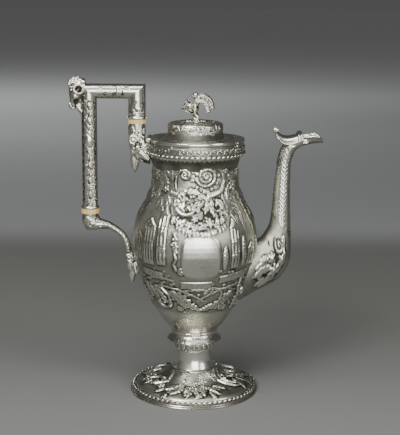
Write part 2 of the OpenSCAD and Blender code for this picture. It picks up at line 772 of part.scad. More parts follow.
// A half-round ring about the tenon of an insulator
module ferrule(x, z, h) {
    translate([x, 0, z])
        rotate_extrude($fn = 64)
            polygon(concat([[tenon_r + tenon_gap, 0]],
                [for (i = [-4:4]) [insulator_r - ferrule_round * (1 - cos(22.5 * i)),
                    h / 2 * (1 + sin(22.5 * i))]],
                [[tenon_r + tenon_gap, h]]));
}

// Cross pin through the upper ferrule, along X
module ferrule_pin(r, half) {
    translate([short_x - half, 0, ferrule_pin_z])
        rotate([0, 90, 0])
            cylinder(h = 2 * half, r = r, $fn = 32);
}

module upper_ferrule() {
    color("silver")
        difference() {
            ferrule(short_x, upper_z + upper_insulator_h, upper_ferrule_h);
            ferrule_pin(rivet_r + tenon_gap, 2 * insulator_r);
        }
}

module lower_ferrule() {
    color("silver")
        ferrule(grip_x, lower_z + lower_insulator_h, lower_ferrule_h);
}

// A disc with a tenon up into the tube and another down into the socket
module insulator(x, z, h, up) {
    translate([x, 0, z]) {
        cylinder(h = h, r = insulator_r, $fn = 64);
        translate([0, 0, -tenon_l])
            cylinder(h = tenon_l + h + up, r = tenon_r, $fn = 64);
    }
}

module upper_insulator() {
    color("wheat")
        difference() {
            insulator(short_x, upper_z, upper_insulator_h, upper_ferrule_h + tenon_l - tenon_short);
            rod_y(short_pin[0], short_pin[1], rivet_r + tenon_gap, 2 * tube_y);
            ferrule_pin(rivet_r + tenon_gap, 2 * insulator_r);
        }
}

module lower_insulator() {
    color("wheat")
        difference() {
            insulator(grip_x, lower_z, lower_insulator_h, lower_ferrule_h + tenon_l - tenon_short);
            rod_y(grip_pin[0], grip_pin[1], rivet_r + tenon_gap, 2 * tube_y);
            rod_y(socket_pin[0], socket_pin[1], rivet_r + tenon_gap, 2 * tube_y);
        }
}

module insulator_pins() {
    color("silver") {
        rod_y(short_pin[0], short_pin[1], rivet_r, tube_y + head_out);
        ferrule_pin(rivet_r, insulator_r + head_out);
        rod_y(grip_pin[0], grip_pin[1], rivet_r, tube_y + head_out);
        rod_y(socket_pin[0], socket_pin[1], rivet_r, socket_r + head_out);
    }
}

// Stations of the upper socket, from [short_x, rim_z]. The last one lies inside the wall of the pot
socket_in = 2.5;
upper_end = [-wall_r(rim_z - 24) + socket_in - short_x, -24, -lip_r + socket_in - short_x, -7.1, 6.5];
upper_rows = [[-8, 2.4, 7.8, 2.4, 7.9], [-7.6, -5.6, 8, -1, 7.6], [-4.8, -13.1, 8.8, -3.4, 7.2],
    [0.6, -18.6, 10, -5, 6.8], [7.6, -22, 12.1, -6, 6.6], upper_end];
upper_tube = [-8, upper_z - rim_z, 7.8, upper_z - rim_z, 7.9];
module upper_socket() {
    color("silver")
        difference() {
            sweep_solid(moved(concat([upper_tube], spline(upper_rows, 3)), short_x, rim_z));
            translate([short_x, 0, upper_z - tenon_l - tenon_room])
                cylinder(h = 2 * tenon_l, r = tenon_r + tenon_gap, $fn = 64);
            vessel_envelope(solder);
            translate([0, 0, rim_z - past])
                cylinder(h = 2 * lid_rim_h, r = lid_r + lid_gap, $fn = 128);
        }
}

module upper_socket_rosettes() {
    out = 3.6;
    up = 1.6;
    sink = 1;
    color("silver")
        for (side = [-1, 1])
            translate([short_x - out, 0, rim_z + up])
                rotate([0, 0, 90 - side * 90])
                    translate([0, socket_r - sink, 0])
                        difference() {
                            rosette(6, 6);
                            translate([side * out, sink - socket_r, -socket_r])
                                cylinder(h = 2 * socket_r, r = socket_r + solder, $fn = 64);
                        }
}

// A leaf in the plane of the handle: rows run from root to tip
module leaf(rows) {
    sweep_solid(spline(rows, 2), 0, 16);
}

module upper_socket_leaves() {
    color("silver")
        difference() {
            union() {
                leaf(moved([[-4.6, -9, 0.4, -14, 2.4], [-8.4, -13, -3, -17.6, 2.8],
                    [-9, -17.5, -5.4, -20.4, 2], [-7.6, -20.8, -6.4, -21.2, 0.8]], short_x, rim_z));
                leaf(moved([[-5.6, -18, 1.6, -17, 2.4], [-6.8, -23, 0.6, -23, 3],
                    [-5.6, -28, -1.6, -28, 2.2], [-3.6, -32.6, -2.6, -32.8, 0.7]], short_x, rim_z));
            }
            sweep_solid(moved(spline(upper_rows, 3), short_x, rim_z), -solder);
        }
}

// Stations on the handle side, with x measured from the wall at its own height and z from belly_z
function on_wall(rows) = [for (r = rows) [r[0] - wall_r(belly_z + r[1]), belly_z + r[1],
    r[2] - wall_r(belly_z + r[3]), belly_z + r[3], r[4]]];

// Stations of the lower socket, from [grip_x, lower_z] and, past the elbow, from [belly_r, belly_z]
elbow_rows = [[8, 0, -8.2, 0, 8], [8, -3.4, -8, -9.6, 7.9], [9.6, -5.4, -4, -17.2, 7.5],
    [12.4, -6.6, 4.2, -17.8, 6.7], [15.8, -7.8, 11.8, -16.2, 5.4]];
arm_rows = [[-23.2, 22.9, -25.6, 16.1, 4.4], [-18.1, 19.8, -21.2, 13.5, 4.2],
    [-13, 16.2, -16.1, 10.6, 4], [-7.9, 11.5, -12.4, 6.8, 3.9], [-4.9, 6.8, -10, 2, 3.8],
    [-2.4, 0.6, -8.6, -3.5, 3.8], [-0.9, -6.8, -8, -9, 3.9], [0.4, -12, -7.6, -13.5, 4.2]];
// The arm is drawn for this reach and rise, and stretches between the elbow and the belly
drawn_reach = 43;
drawn_lower_rise = 32.1;
elbow_w = 16;
arm_x = (-belly_r - grip_x - elbow_w) / (drawn_reach - elbow_w);
arm_z = lower_rise / drawn_lower_rise;
arm = [for (r = moved([for (a = arm_rows) [a[0] * arm_x, a[1] * (a[1] > 0 ? arm_z : 1),
    a[2] * arm_x, a[3] * (a[3] > 0 ? arm_z : 1), a[4]]], -belly_r, belly_z)) r];
arm_path = concat(moved(elbow_rows, grip_x, lower_z), arm);

// The rosette that joins the arm to the body: a disc between two flowers, and a foot on the wall
rosette_r = 5;
rosette_z = belly_z - 14.9;
rosette_x = -wall_r(rosette_z) - 5.9;
rosette_half = 1.6;
rosette_foot_r = 3;
// The flowers stop this far inside the rim of the disc
flower_inset = 0.4;
boss_r = 4.4;

module lower_socket() {
    color("silver")
        difference() {
            sweep_solid(spline(arm_path, 2));
            rod_y(rosette_x, rosette_z, rosette_r + solder, 2 * rosette_r);
            translate([grip_x, 0, lower_z - tenon_l - tenon_room])
                cylinder(h = 2 * tenon_l, r = tenon_r + tenon_gap, $fn = 64);
            rod_y(socket_pin[0], socket_pin[1], rivet_r + tenon_gap, 2 * tube_y);
            vessel_envelope(solder);
        }
}

module lower_socket_rosette() {
    color("silver")
        difference() {
            union() {
                translate([rosette_x, 0, rosette_z])
                    sphere(r = boss_r, $fn = 32);
                rod_y(rosette_x, rosette_z, rosette_r, rosette_half);
                translate([rosette_x, 0, rosette_z])
                    rotate([0, 90, 0])
                        cylinder(h = 2 * rosette_r, r = rosette_foot_r, $fn = 32);
                for (side = [0, 180])
                    translate([rosette_x, 0, rosette_z])
                        rotate([0, 0, side])
                            translate([0, rosette_half, 0])
                                rosette(rosette_r - flower_inset, 5);
            }
            vessel_envelope(solder);
        }
}

module lower_socket_leaves() {
    color("silver")
        difference() {
            union() {
                leaf(on_wall([[-2.2, -19, -7.9, -18.4, 2.6], [-2.3, -24, -8.9, -24, 4],
                    [-4.2, -30, -10.2, -30, 3.4], [-7, -36, -11.4, -36, 2.4],
                    [-10.7, -41.6, -11.7, -41.6, 0.8]]));
                leaf(on_wall([[1.5, -22, -2.7, -24, 2], [4.4, -28, -2.8, -30, 3.4],
                    [4.8, -33.6, -1.5, -34.4, 2.6], [3, -38, 1.2, -38, 0.8]]));
            }
            rod_y(rosette_x, rosette_z, rosette_r + solder, 2 * rosette_r);
            vessel_envelope(solder);
        }
}

// ---------- ram's head on the outer corner of the handle ----------

// Stations from the poll to the muzzle, measured from the outer corner of the handle
head_rows = [[4.1, 4.8, 5.1, -9.7, 6.5], [-1.9, 5.8, 1.1, -13.7, 7], [-8.4, 2.8, -1.4, -16.2, 7],
    [-12.1, -3.2, -3.4, -18.2, 6.3], [-12.4, -9.7, -3.7, -20.2, 5.2], [-11.7, -16.2, -3.7, -22.2, 4.2],
    [-11.5, -21.2, -4.4, -24.4, 3.6], [-10.2, -25.4, -5.9, -26.1, 2.4]];
beard_rows = [[-4.4, -15.5, 1, -13, 6], [-3.2, -21, 1.6, -20, 4.6], [-1.6, -27, 2, -27, 3],
    [0.4, -32.8, 1.4, -33, 1]];
// Locks of hair over the poll, each [x, y, z, radius], repeated on the other side
locks = [[-4.6, 3.2, 5, 3.4], [0.6, 3, 5.6, 3.2]];
corner_x = grip_x - grip_r;
corner_z = top_z + top_tube_r;

// The tubes at the corner, as one solid that a casting is fitted to
module corner_envelope() {
    sweep_solid([[grip_x + grip_r, lower_z, grip_x - grip_r, lower_z, tube_y], grip_corner], -solder);
    sweep_solid([grip_corner, short_corner], -solder);
}

module ram_head() {
    color("silver")
        difference() {
            union() {
                sweep_solid(spline(moved(head_rows, corner_x, corner_z), 3));
                sweep_solid(spline(moved(beard_rows, corner_x, corner_z), 2), 0, 16);
                for (side = [-1, 1]) for (lock = locks)
                    translate([corner_x + lock[0], side * lock[1], corner_z + lock[2]])
                        sphere(r = lock[3], $fn = 24);
            }
            corner_envelope();
        }
}

// Horns curl about a centre, from and to these angles, and taper
horn_centre = [-1.6, -5];
horn_y = 7.8;
horn_r = 4.4;
horn_from = 80;
horn_to = 370;
horn_thick = 2;
horn_tip = 1.1;
module ram_horns() {
    color("silver")
        difference() {
            for (side = [-1, 1])
                translate([corner_x, side * horn_y, corner_z])
                    sweep_solid(arc_rows(horn_centre, horn_r, horn_from, horn_to,
                        horn_thick, horn_tip, 18), 0, 12);
            sweep_solid(spline(moved(head_rows, corner_x, corner_z), 3), -solder);
            corner_envelope();
        }
}

foot_rim();
foot();
foot_rope_wire();
stem();
leaf_collar();
body_base_ring();
body();
neck_band();
neck_rope_wire();
lid_seat_ring();
lid();
lid_rim();
lid_bezel();
finial();
finial_washer();
finial_nut();
hinge_plate();
hinge_lid_knuckles();
hinge_pin();
spout_near_half();
spout_far_half();
spout_beak();
spout_hood();
spout_strap();
handle_grip();
handle_top_tube();
handle_short_tube();
upper_ferrule();
lower_ferrule();
upper_insulator();
lower_insulator();
insulator_pins();
upper_socket();
upper_socket_rosettes();
upper_socket_leaves();
lower_socket();
lower_socket_rosette();
lower_socket_leaves();
ram_head();
ram_horns();
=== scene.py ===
# %% [markdown]
# # A chased silver coffee pot
#
# The real pot is raised from sheet silver. Its wall is hammered up over stakes, filled with pitch and
# then chased: the smith drives the ground down with punches, so that scrolls, leaves and flowers stand
# up from it. The hollows are darkened and the high points are rubbed bright again.
#
# This lesson keeps the solids of the construction where they are, gives them their finish, and
# lays the chased work over them as fine meshes. All lengths below are in millimetres, and one factor
# turns them into metres.

# %% Load the frame
import json
import math

import bpy
import numpy as np
from mathutils import Matrix, Vector


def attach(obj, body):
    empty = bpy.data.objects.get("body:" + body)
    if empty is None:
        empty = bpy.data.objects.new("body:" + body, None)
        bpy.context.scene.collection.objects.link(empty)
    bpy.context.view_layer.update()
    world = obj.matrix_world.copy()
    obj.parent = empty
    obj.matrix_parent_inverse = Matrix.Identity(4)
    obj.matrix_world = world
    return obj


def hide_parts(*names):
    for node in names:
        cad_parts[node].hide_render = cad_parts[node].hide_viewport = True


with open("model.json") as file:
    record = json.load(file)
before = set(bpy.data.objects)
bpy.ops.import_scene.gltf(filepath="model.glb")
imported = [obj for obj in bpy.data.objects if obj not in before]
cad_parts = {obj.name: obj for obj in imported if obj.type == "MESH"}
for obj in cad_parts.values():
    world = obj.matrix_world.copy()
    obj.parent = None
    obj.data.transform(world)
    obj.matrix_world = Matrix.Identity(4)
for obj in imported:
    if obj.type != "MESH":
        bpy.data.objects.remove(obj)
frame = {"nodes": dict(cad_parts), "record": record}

MM = 0.001
NODES = frame["nodes"]
POT, LID = "pot", "lid"
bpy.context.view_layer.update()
print("solids in the frame:", len(NODES))

# %% [markdown]
# ## Camera
#
# A long lens a little over a metre away, just above the pot, is how silver is usually pictured: the
# verticals stay upright and the rims show as narrow ellipses. The roll of under half a degree is the
# small tilt of a hand-set tripod.

# %% Camera
CAMERA_AT = (0.00515, -1.0731, 0.3975)
LOOK_DOWN = math.radians(11.369)
CAMERA_ROLL = math.radians(0.424)
LENS = 96.73

camera = bpy.data.objects.new("studio_camera", bpy.data.cameras.new("studio_camera"))
camera.data.sensor_fit = "HORIZONTAL"
camera.data.sensor_width = 36
camera.data.lens = LENS
camera.matrix_world = (
    Matrix.Translation(CAMERA_AT)
    @ Matrix.Rotation(math.pi / 2 - LOOK_DOWN, 4, "X")
    @ Matrix.Rotation(CAMERA_ROLL, 4, "Z")
)
bpy.context.scene.collection.objects.link(camera)
bpy.context.scene.camera = camera
print("camera at", CAMERA_AT, "lens", LENS)

# %% [markdown]
# ## Helpers for nodes and colours
#
# Every material and every Geometry Nodes tree is wired with one small function. It adds a node, sets
# its properties, and fills its inputs with a value or with another node's output. Colours are written
# as the hex values that a paint programme shows, and one function turns them into linear light.


# %% Node and colour helpers
def add(tree, kind, inputs=None, **settings):
    """One node in a tree: settings are its properties, inputs are numbers, colours or sockets."""
    made = tree.nodes.new(kind)
    for name, value in settings.items():
        setattr(made, name, value)
    for key, value in (inputs or {}).items():
        socket = made.inputs[key]
        if isinstance(value, bpy.types.NodeSocket):
            tree.links.new(value, socket)
        else:
            socket.default_value = value
    return made


def linear(hex_colour):
    """An sRGB hex colour as linear light, with alpha."""
    parts = [int(hex_colour[i:i + 2], 16) / 255 for i in (1, 3, 5)]
    return (*(p / 12.92 if p <= 0.04045 else ((p + 0.055) / 1.055) ** 2.4 for p in parts), 1)


def link_piece(name, mesh):
    """A new object at the origin that shows the mesh."""
    piece = bpy.data.objects.new(name, mesh)
    bpy.context.scene.collection.objects.link(piece)
    return piece


# %% [markdown]
# ## Silver
#
# Sterling silver is a nearly white metal. Polished, it mirrors the room, and its colour in a picture is
# the colour of what it mirrors. What makes chased silver readable is the oxide left in the hollows:
# warm, dark and dull. So the material has two surfaces, a bright one and an oxidised one, mixed by a
# value stored on each point of the mesh. That value holds the oxide, and on some pieces painted shade
# too: in gaps between leaves, in named pits, on inner faces and on the core of the rope wires. A second
# stored value, `matting`, switches on the fine punched dots of the ground. On pieces that store neither,
# both read as zero, and the piece is plain polished silver with its own clouds of tarnish. The ring that
# the pot stands on is given a darker silver with more tarnish.


# %% Silver material
DOT_SIZE = 0.7  # mm between the punched dots of the ground


def silver(name, bright, oxide, polish, dull, dot_depth=0.0, tarnish=0.25, dent=0.0):
    """Sterling silver. polish and dull are the roughness of its high points and hollows."""
    material = bpy.data.materials.new(name)
    material.use_nodes = True
    tree = material.node_tree
    tree.nodes.clear()
    place = add(tree, "ShaderNodeTexCoord").outputs["Object"]
    oxide_and_shade = add(tree, "ShaderNodeAttribute", attribute_name="oxide_and_shade").outputs["Fac"]
    matting = add(tree, "ShaderNodeAttribute", attribute_name="matting").outputs["Fac"]
    # Cloudy tarnish, about 14 mm across, breaks up the polish
    cloud = add(tree, "ShaderNodeTexNoise", {"Vector": place, "Scale": 1 / (14 * MM), "Detail": 4.0})
    clouds = add(tree, "ShaderNodeMapRange", {"Value": cloud.outputs["Fac"], "From Min": 0.42,
                 "From Max": 0.72, "To Min": 0.0, "To Max": tarnish}).outputs["Result"]
    # Fine specks, about 1.2 mm, are the last oxide that the polishing cloth leaves
    speck = add(tree, "ShaderNodeTexNoise", {"Vector": place, "Scale": 1 / (1.2 * MM), "Detail": 2.0})
    specks = add(tree, "ShaderNodeMapRange", {"Value": speck.outputs["Fac"], "From Min": 0.55,
                 "From Max": 0.75, "To Min": 0.0, "To Max": 0.4 * tarnish}).outputs["Result"]
    stain = add(tree, "ShaderNodeMath", {0: clouds, 1: specks}, operation="ADD").outputs[0]
    dark = add(tree, "ShaderNodeMath", {0: oxide_and_shade, 1: stain}, operation="ADD", use_clamp=True).outputs[0]
    # The colour sockets of a Mix node share their names with its number sockets, so they go by place
    colour = add(tree, "ShaderNodeMix", {"Factor": dark, 6: linear(bright), 7: linear(oxide)},
                 data_type="RGBA")
    rough = add(tree, "ShaderNodeMapRange", {"Value": dark, "To Min": polish, "To Max": dull})
    # Punched dots of the matted ground
    dots = add(tree, "ShaderNodeTexVoronoi", {"Vector": place, "Scale": 1 / (DOT_SIZE * MM)})
    deep = add(tree, "ShaderNodeMath", {0: dots.outputs["Distance"], 1: matting}, operation="MULTIPLY")
    # Planishing marks: shallow facets of the hammer, 8 mm across
    facets = add(tree, "ShaderNodeTexNoise", {"Vector": place, "Scale": 1 / (8 * MM), "Detail": 0.0})
    dents = add(tree, "ShaderNodeBump", {"Height": facets.outputs["Fac"], "Strength": dent,
                "Distance": 0.6 * MM})
    bump = add(tree, "ShaderNodeBump", {"Height": deep.outputs[0], "Strength": dot_depth,
               "Distance": 0.5 * MM, "Normal": dents.outputs["Normal"]})
    metal = add(tree, "ShaderNodeBsdfPrincipled", {"Base Color": colour.outputs[2], "Metallic": 1.0,
                "Roughness": rough.outputs["Result"], "Normal": bump.outputs["Normal"]})
    add(tree, "ShaderNodeOutputMaterial", {"Surface": metal.outputs["BSDF"]})
    return material


CHASED = silver("chased sterling sheet", "#DCDBCE", "#37342A", 0.22, 0.50, dot_depth=0.28, dent=0.12)
CAST = silver("cast and chased sterling", "#DAD8CB", "#322F26", 0.18, 0.50, tarnish=0.30, dent=0.15)
WIRE = silver("drawn sterling wire", "#E0DFD4", "#35322A", 0.16, 0.45, tarnish=0.22, dent=0.05)
ENGRAVED = silver("engraved sterling tube", "#DCDBCE", "#2C2920", 0.17, 0.48, tarnish=0.20, dent=0.12)
BURNISHED = silver("burnished sterling sheet", "#E4E1D8", "#3A372E", 0.20, 0.42, tarnish=0.16, dent=0.15)
DARKER_RING_SILVER = silver("darker sterling ring", "#B5B3A7", "#35322A", 0.24, 0.46, tarnish=0.5, dent=0.05)
print("silver finishes:", CHASED.name, "/", CAST.name, "/", WIRE.name, "/", ENGRAVED.name)

# %% [markdown]
# ## Ivory
#
# The two rings that keep the heat from the hand are turned from ivory. It is a dense, faintly
# translucent material, warm cream with darker growth lines along the grain, and it yellows where hands
# have reached it. A little light passes into it, so it never looks like paint.


# %% Ivory material
def ivory():
    """Turned and polished ivory with growth lines 1.6 mm apart."""
    material = bpy.data.materials.new("turned ivory")
    material.use_nodes = True
    tree = material.node_tree
    tree.nodes.clear()
    place = add(tree, "ShaderNodeTexCoord").outputs["Object"]
    grain = add(tree, "ShaderNodeTexWave", {"Vector": place, "Scale": 1 / (1.6 * MM) / 6.28,
                "Distortion": 3.0, "Detail": 2.0}, bands_direction="X")
    cloud = add(tree, "ShaderNodeTexNoise", {"Vector": place, "Scale": 1 / (6 * MM), "Detail": 3.0})
    both = add(tree, "ShaderNodeMath", {0: grain.outputs["Fac"], 1: cloud.outputs["Fac"]},
               operation="MULTIPLY").outputs[0]
    colour = add(tree, "ShaderNodeMix", {"Factor": both, 6: linear("#DDBE7E"), 7: linear("#C79F5C")},
                 data_type="RGBA")
    rough = add(tree, "ShaderNodeMapRange", {"Value": cloud.outputs["Fac"], "To Min": 0.28,
                "To Max": 0.42})
    body = add(tree, "ShaderNodeBsdfPrincipled", {"Base Color": colour.outputs[2],
               "Roughness": rough.outputs["Result"], "IOR": 1.54, "Subsurface Weight": 0.15,
               "Subsurface Scale": 2 * MM})
    add(tree, "ShaderNodeOutputMaterial", {"Surface": body.outputs["BSDF"]})
    return material


IVORY = ivory()
print("rings:", IVORY.name)

# %% Finish of the solids that stay
FINISH = {"silver_sheet": BURNISHED, "silver_cast": CAST, "silver_wire": WIRE,
          "silver_engraved": ENGRAVED, "ivory": IVORY}
for part in frame["record"]["subparts"]:
    mesh = NODES[part["node"]].data
    mesh.materials.clear()
    mesh.materials.append(FINISH[part["material_slot"]])
# The ring that the pot stands on gets a darker silver with more tarnish.
NODES["foot_rim"].data.materials[0] = DARKER_RING_SILVER

# %% [markdown]
# ## A sheet of silver as a grid of points
#
# Chased work is a picture in relief on a curved wall. The wall is made as a grid: its columns run
# around the form and its rows run along it. For every point the helper below knows how far it lies
# around the form and along it, in millimetres, so a motif can be drawn flat, at its real size, and
# lands on the curved wall without being stretched.
#
# Each motif is a field: 1 on its crest, 0 on its edge and below zero outside. `press` rounds the field
# into a raised form and sinks a fine line around its edge, as the tracing punch does.


# %% Chasing helpers
def full_turn(columns):
    """The angles of columns that share out a full turn."""
    return np.arange(columns) * 2 * math.pi / columns


class Chasing:
    """Heights and finish of the chased work on one wall, kept point by point."""

    def __init__(self, columns, radii, lengths):
        self.turn = full_turn(columns)
        self.radius = np.asarray(radii, float)
        self.length = np.asarray(lengths, float)
        self.height = np.zeros((len(self.length), columns))
        self.ground = np.zeros_like(self.height)
        self.stain = np.zeros_like(self.height)

    def spot(self, degrees, length, reach):
        """The points near a place, with their offsets around (x) and along (y) the wall, in mm."""
        away = (self.turn - math.radians(degrees) + math.pi) % (2 * math.pi) - math.pi
        rows = np.nonzero(abs(self.length - length) < reach)[0]
        if not len(rows):
            rows = np.array([0])
        columns = np.nonzero(abs(away) * self.radius[rows].min() < reach)[0]
        x = away[columns][None, :] * self.radius[rows][:, None]
        y = np.repeat((self.length[rows] - length)[:, None], len(columns), 1)
        return np.ix_(rows, columns), x, y

    def press(self, where, field, height, edge=0.22, keep=0.4):
        """Raises a field. edge is the depth of the traced line around it, keep the share of the old
        relief that can still stand above it."""
        inside = np.clip(field, 0, 1)
        raised = height * np.sqrt(1 - (1 - inside) ** 2)
        line = edge * np.exp(-((field + 0.1) / 0.12) ** 2)
        old = self.height[where]
        self.height[where] = np.where(field > 0, np.maximum(raised, keep * old), old - line)

    def cut(self, where, field, depth):
        """Sinks a field, as an engraver's line or a punch mark does."""
        self.height[where] -= depth * np.clip(field, 0, 1)

    def mat(self, low, high, strength=1.0):
        """Matted ground between two lengths, fading over 3 mm."""
        band = np.clip((self.length - low) / 3, 0, 1) * np.clip((high - self.length) / 3, 0, 1)
        self.ground = np.maximum(self.ground, strength * band[:, None])

    def soften(self):
        """Evens out the relief a little, as planishing does."""
        self.height = blurred(self.height, 1)


def blurred(values, reach):
    """The mean over a window, wrapping around the columns."""
    for axis, mode in ((1, "wrap"), (0, "edge")):
        width = [(0, 0), (0, 0)]
        width[axis] = (reach, reach)
        wide = np.cumsum(np.pad(values, width, mode=mode), axis=axis)
        wide = np.insert(wide, 0, 0, axis=axis)
        span = 2 * reach + 1
        if axis:
            values = (wide[:, span:] - wide[:, :-span]) / span
        else:
            values = (wide[span:] - wide[:-span]) / span
    return values


WIDE_REACH, NEAR_REACH = 2.4, 0.9  # mm: how far around a point its hollow is judged


def hollows(work):
    """Where oxide stays, and some painted shade: points lower than what lies around them, the matted ground,
    and the stain of cuts and shaded gaps.
    """
    step = 2 * math.pi * work.radius.mean() / len(work.turn)
    wide = blurred(work.height, max(2, round(WIDE_REACH / step))) - work.height
    near = blurred(work.height, max(1, round(NEAR_REACH / step))) - work.height
    low_ground = work.ground * np.clip(1 - work.height / 0.45, 0, 1)
    return np.clip(0.95 * wide + 1.6 * near + 0.34 * low_ground + work.stain, 0, 1)


# %% [markdown]
# ## The chaser's motifs
#
# Traditional silver ornament is built from very few forms: a stroke that swells and tapers, a volute
# that rolls up at its end, a leaf with a midrib and lobes, and a flower with round petals. Each is a
# short formula here, because formulas stay crisp at any size.


# %% Lines of the motifs
VEINED_SIZE = 11  # mm: shorter leaves are too small for side veins


def stroke(x, y, path, start, end):
    """A line along a path of points, with a half width that changes from start to end."""
    best = np.full(x.shape, -9.0)
    count = len(path) - 1
    for i in range(count):
        (ax, ay), (bx, by) = path[i], path[i + 1]
        dx, dy = bx - ax, by - ay
        t = np.clip(((x - ax) * dx + (y - ay) * dy) / (dx * dx + dy * dy + 1e-9), 0, 1)
        width = start + (end - start) * (i + t) / count
        best = np.maximum(best, 1 - np.hypot(x - ax - t * dx, y - ay - t * dy) / width)
    return best


def volute(radius, turns, begin, side, steps=14):
    """Points of a spiral that rolls inwards to the origin. side 1 turns counter-clockwise."""
    count = int(steps * turns)
    points = []
    for i in range(count + 1):
        far = radius * (1 - 0.86 * i / count)
        turn = begin + side * 2 * math.pi * turns * i / count
        points.append((far * math.cos(turn), far * math.sin(turn)))
    return points


def arc(ax, ay, bx, by, bend):
    """Eleven points from a to b on a curve that bulges sideways by bend."""
    px, py = -(by - ay), bx - ax
    size = math.hypot(px, py)
    return [(ax + (bx - ax) * t + 4 * bend * t * (1 - t) * px / size,
             ay + (by - ay) * t + 4 * bend * t * (1 - t) * py / size)
            for t in (i / 10 for i in range(11))]


# %% Leaves and flowers
def press_leaf(work, degrees, length, size, width, aim, bend=0.0, lobes=4, height=1.0, keep=0.3):
    """A leaf from its root. aim is its direction in degrees, 0 around the form and 90 along it."""
    where, x, y = work.spot(degrees, length, size * 1.25)
    c, s = math.cos(math.radians(aim)), math.sin(math.radians(aim))
    t = (x * c + y * s) / size
    inside = np.clip(t, 0.001, 0.999)
    across = -x * s + y * c - 4 * bend * inside * (1 - inside)
    lobe = 1 + 0.22 * np.sin(2 * math.pi * lobes * inside - 0.8)
    edge = width * np.sin(math.pi * inside ** 0.75) ** 0.8 * lobe
    outside = np.where((t < 0) | (t > 1), 6 * np.minimum(t, 1 - t), 0)
    work.press(where, 1 - abs(across) / (edge + 0.05) + outside, height, keep=keep)
    on_leaf = np.clip(1 - abs(across) / (edge + 0.05), 0, 1) * (outside == 0)
    rib = 0.34 + 0.02 * size
    work.cut(where, on_leaf * np.exp(-(across / rib) ** 2) * 1.2, 0.34 * height)
    if size > VEINED_SIZE:
        veins = np.cos(2 * math.pi * (lobes * inside * 1.6 - abs(across) / size * 3))
        work.cut(where, on_leaf * np.clip(veins, 0, 1) * 0.8, 0.24 * height)


def press_flower(work, degrees, length, radius, petals=6, height=1.2, turned=0.0, carved=1.0):
    """An open flower: round petals about a button. carved is how deep its lines go."""
    where, x, y = work.spot(degrees, length, radius * 1.4)
    far = np.hypot(x, y)
    around = np.arctan2(y, x) + turned
    edge = radius * (0.80 + 0.20 * np.cos(petals * around))
    work.press(where, 1.15 * (1 - far / edge), height * 0.9, keep=0.2)
    seam = np.clip(1 - far / edge, 0, 1) * np.clip(-np.cos(petals * around) - 0.45, 0, 1)
    work.cut(where, seam * 2.8, 0.7 * height * carved)
    ring = np.exp(-((far - 0.36 * radius) / (0.10 * radius)) ** 2)
    work.cut(where, ring, 0.55 * height * carved)
    work.press(where, 1 - far / (0.3 * radius), height * 1.1, edge=0.0, keep=1.0)


# %% Scrolls, lines and dots
def press_volute(work, degrees, length, radius, turns, begin, side=1, thick=1.6, height=1.3, tail=None):
    """A rolled scroll with a bead in its eye. tail is a path that runs on from its outer end."""
    reach = radius * 1.6 + (0 if tail is None else max(abs(v) for p in tail for v in p))
    where, x, y = work.spot(degrees, length, reach)
    roll = volute(radius, turns, math.radians(begin), side)
    if tail is not None:
        work.press(where, stroke(x, y, tail, 0.4 * thick, thick), height, keep=0.2)
    work.press(where, stroke(x, y, roll, thick, 0.55 * thick), height, keep=0.2)
    eye = roll[-1]
    bead = 1 - np.hypot(x - eye[0], y - eye[1]) / (0.2 * radius + 0.5)
    work.press(where, bead, height * 1.1, edge=0.0, keep=1.0)


def press_stroke(work, degrees, length, path, start, end, height=0.9, edge=0.22):
    """A single raised stroke, such as a stem, a rail or the edge of a wall."""
    reach = 3 + max(abs(v) for point in path for v in point)
    where, x, y = work.spot(degrees, length, reach)
    work.press(where, stroke(x, y, path, start, end), height, edge=edge, keep=0.5)


def engrave(work, degrees, length, path, width=0.45, depth=0.25, dark=0.6):
    """A line cut by the graver along a path, with oxide left in it."""
    reach = 2 + max(abs(v) for point in path for v in point)
    where, x, y = work.spot(degrees, length, reach)
    line = np.clip(1.6 * stroke(x, y, path, width, 0.6 * width), 0, 1)
    work.cut(where, line, depth)
    work.stain[where] = np.maximum(work.stain[where], dark * line)


def punch_dot(work, degrees, length, size=0.6, depth=0.35, dark=0.8):
    """One round mark of a punch."""
    where, x, y = work.spot(degrees, length, size + 1.5)
    field = np.clip(1.5 * (1 - np.hypot(x, y) / size), 0, 1)
    work.cut(where, field, depth)
    work.stain[where] = np.maximum(work.stain[where], dark * field)


# %% [markdown]
# ## From rows of points to a closed piece
#
# A shell of sheet metal has an outside, an inside and two rims. If its rows run up the outside and
# back down the inside, the first row joins the last, and every column closes too: the grid is a torus
# with no open edge. The relief is stored on the points in millimetres, with the direction that faces
# away from the wall, and a Geometry Nodes tree then raises it, with faint hammer marks of a fixed
# seed. Keeping the relief as a stored value means that its depth can still be changed after the motifs
# are drawn.


# %% Grid pieces
def grid_faces(rows, columns, closed):
    """Four-sided faces of a grid whose columns close around. closed joins its last row to its first."""
    row = np.arange(rows if closed else rows - 1)[:, None]
    above = (row + 1) % rows
    column = np.arange(columns)
    beside = (column + 1) % columns
    corners = [row * columns + column, row * columns + beside,
               above * columns + beside, above * columns + column]
    return np.stack(corners, -1).reshape(-1, 4)


def faces_inwards(points, faces):
    """Whether the faces of a closed form point into it, from the sign of its volume."""
    p, q, r, s = (points[faces[:, i]] for i in range(4))
    volumes = np.einsum("ij,ij->i", p, np.cross(q, r)) + np.einsum("ij,ij->i", p, np.cross(r, s))
    return volumes.sum() < 0


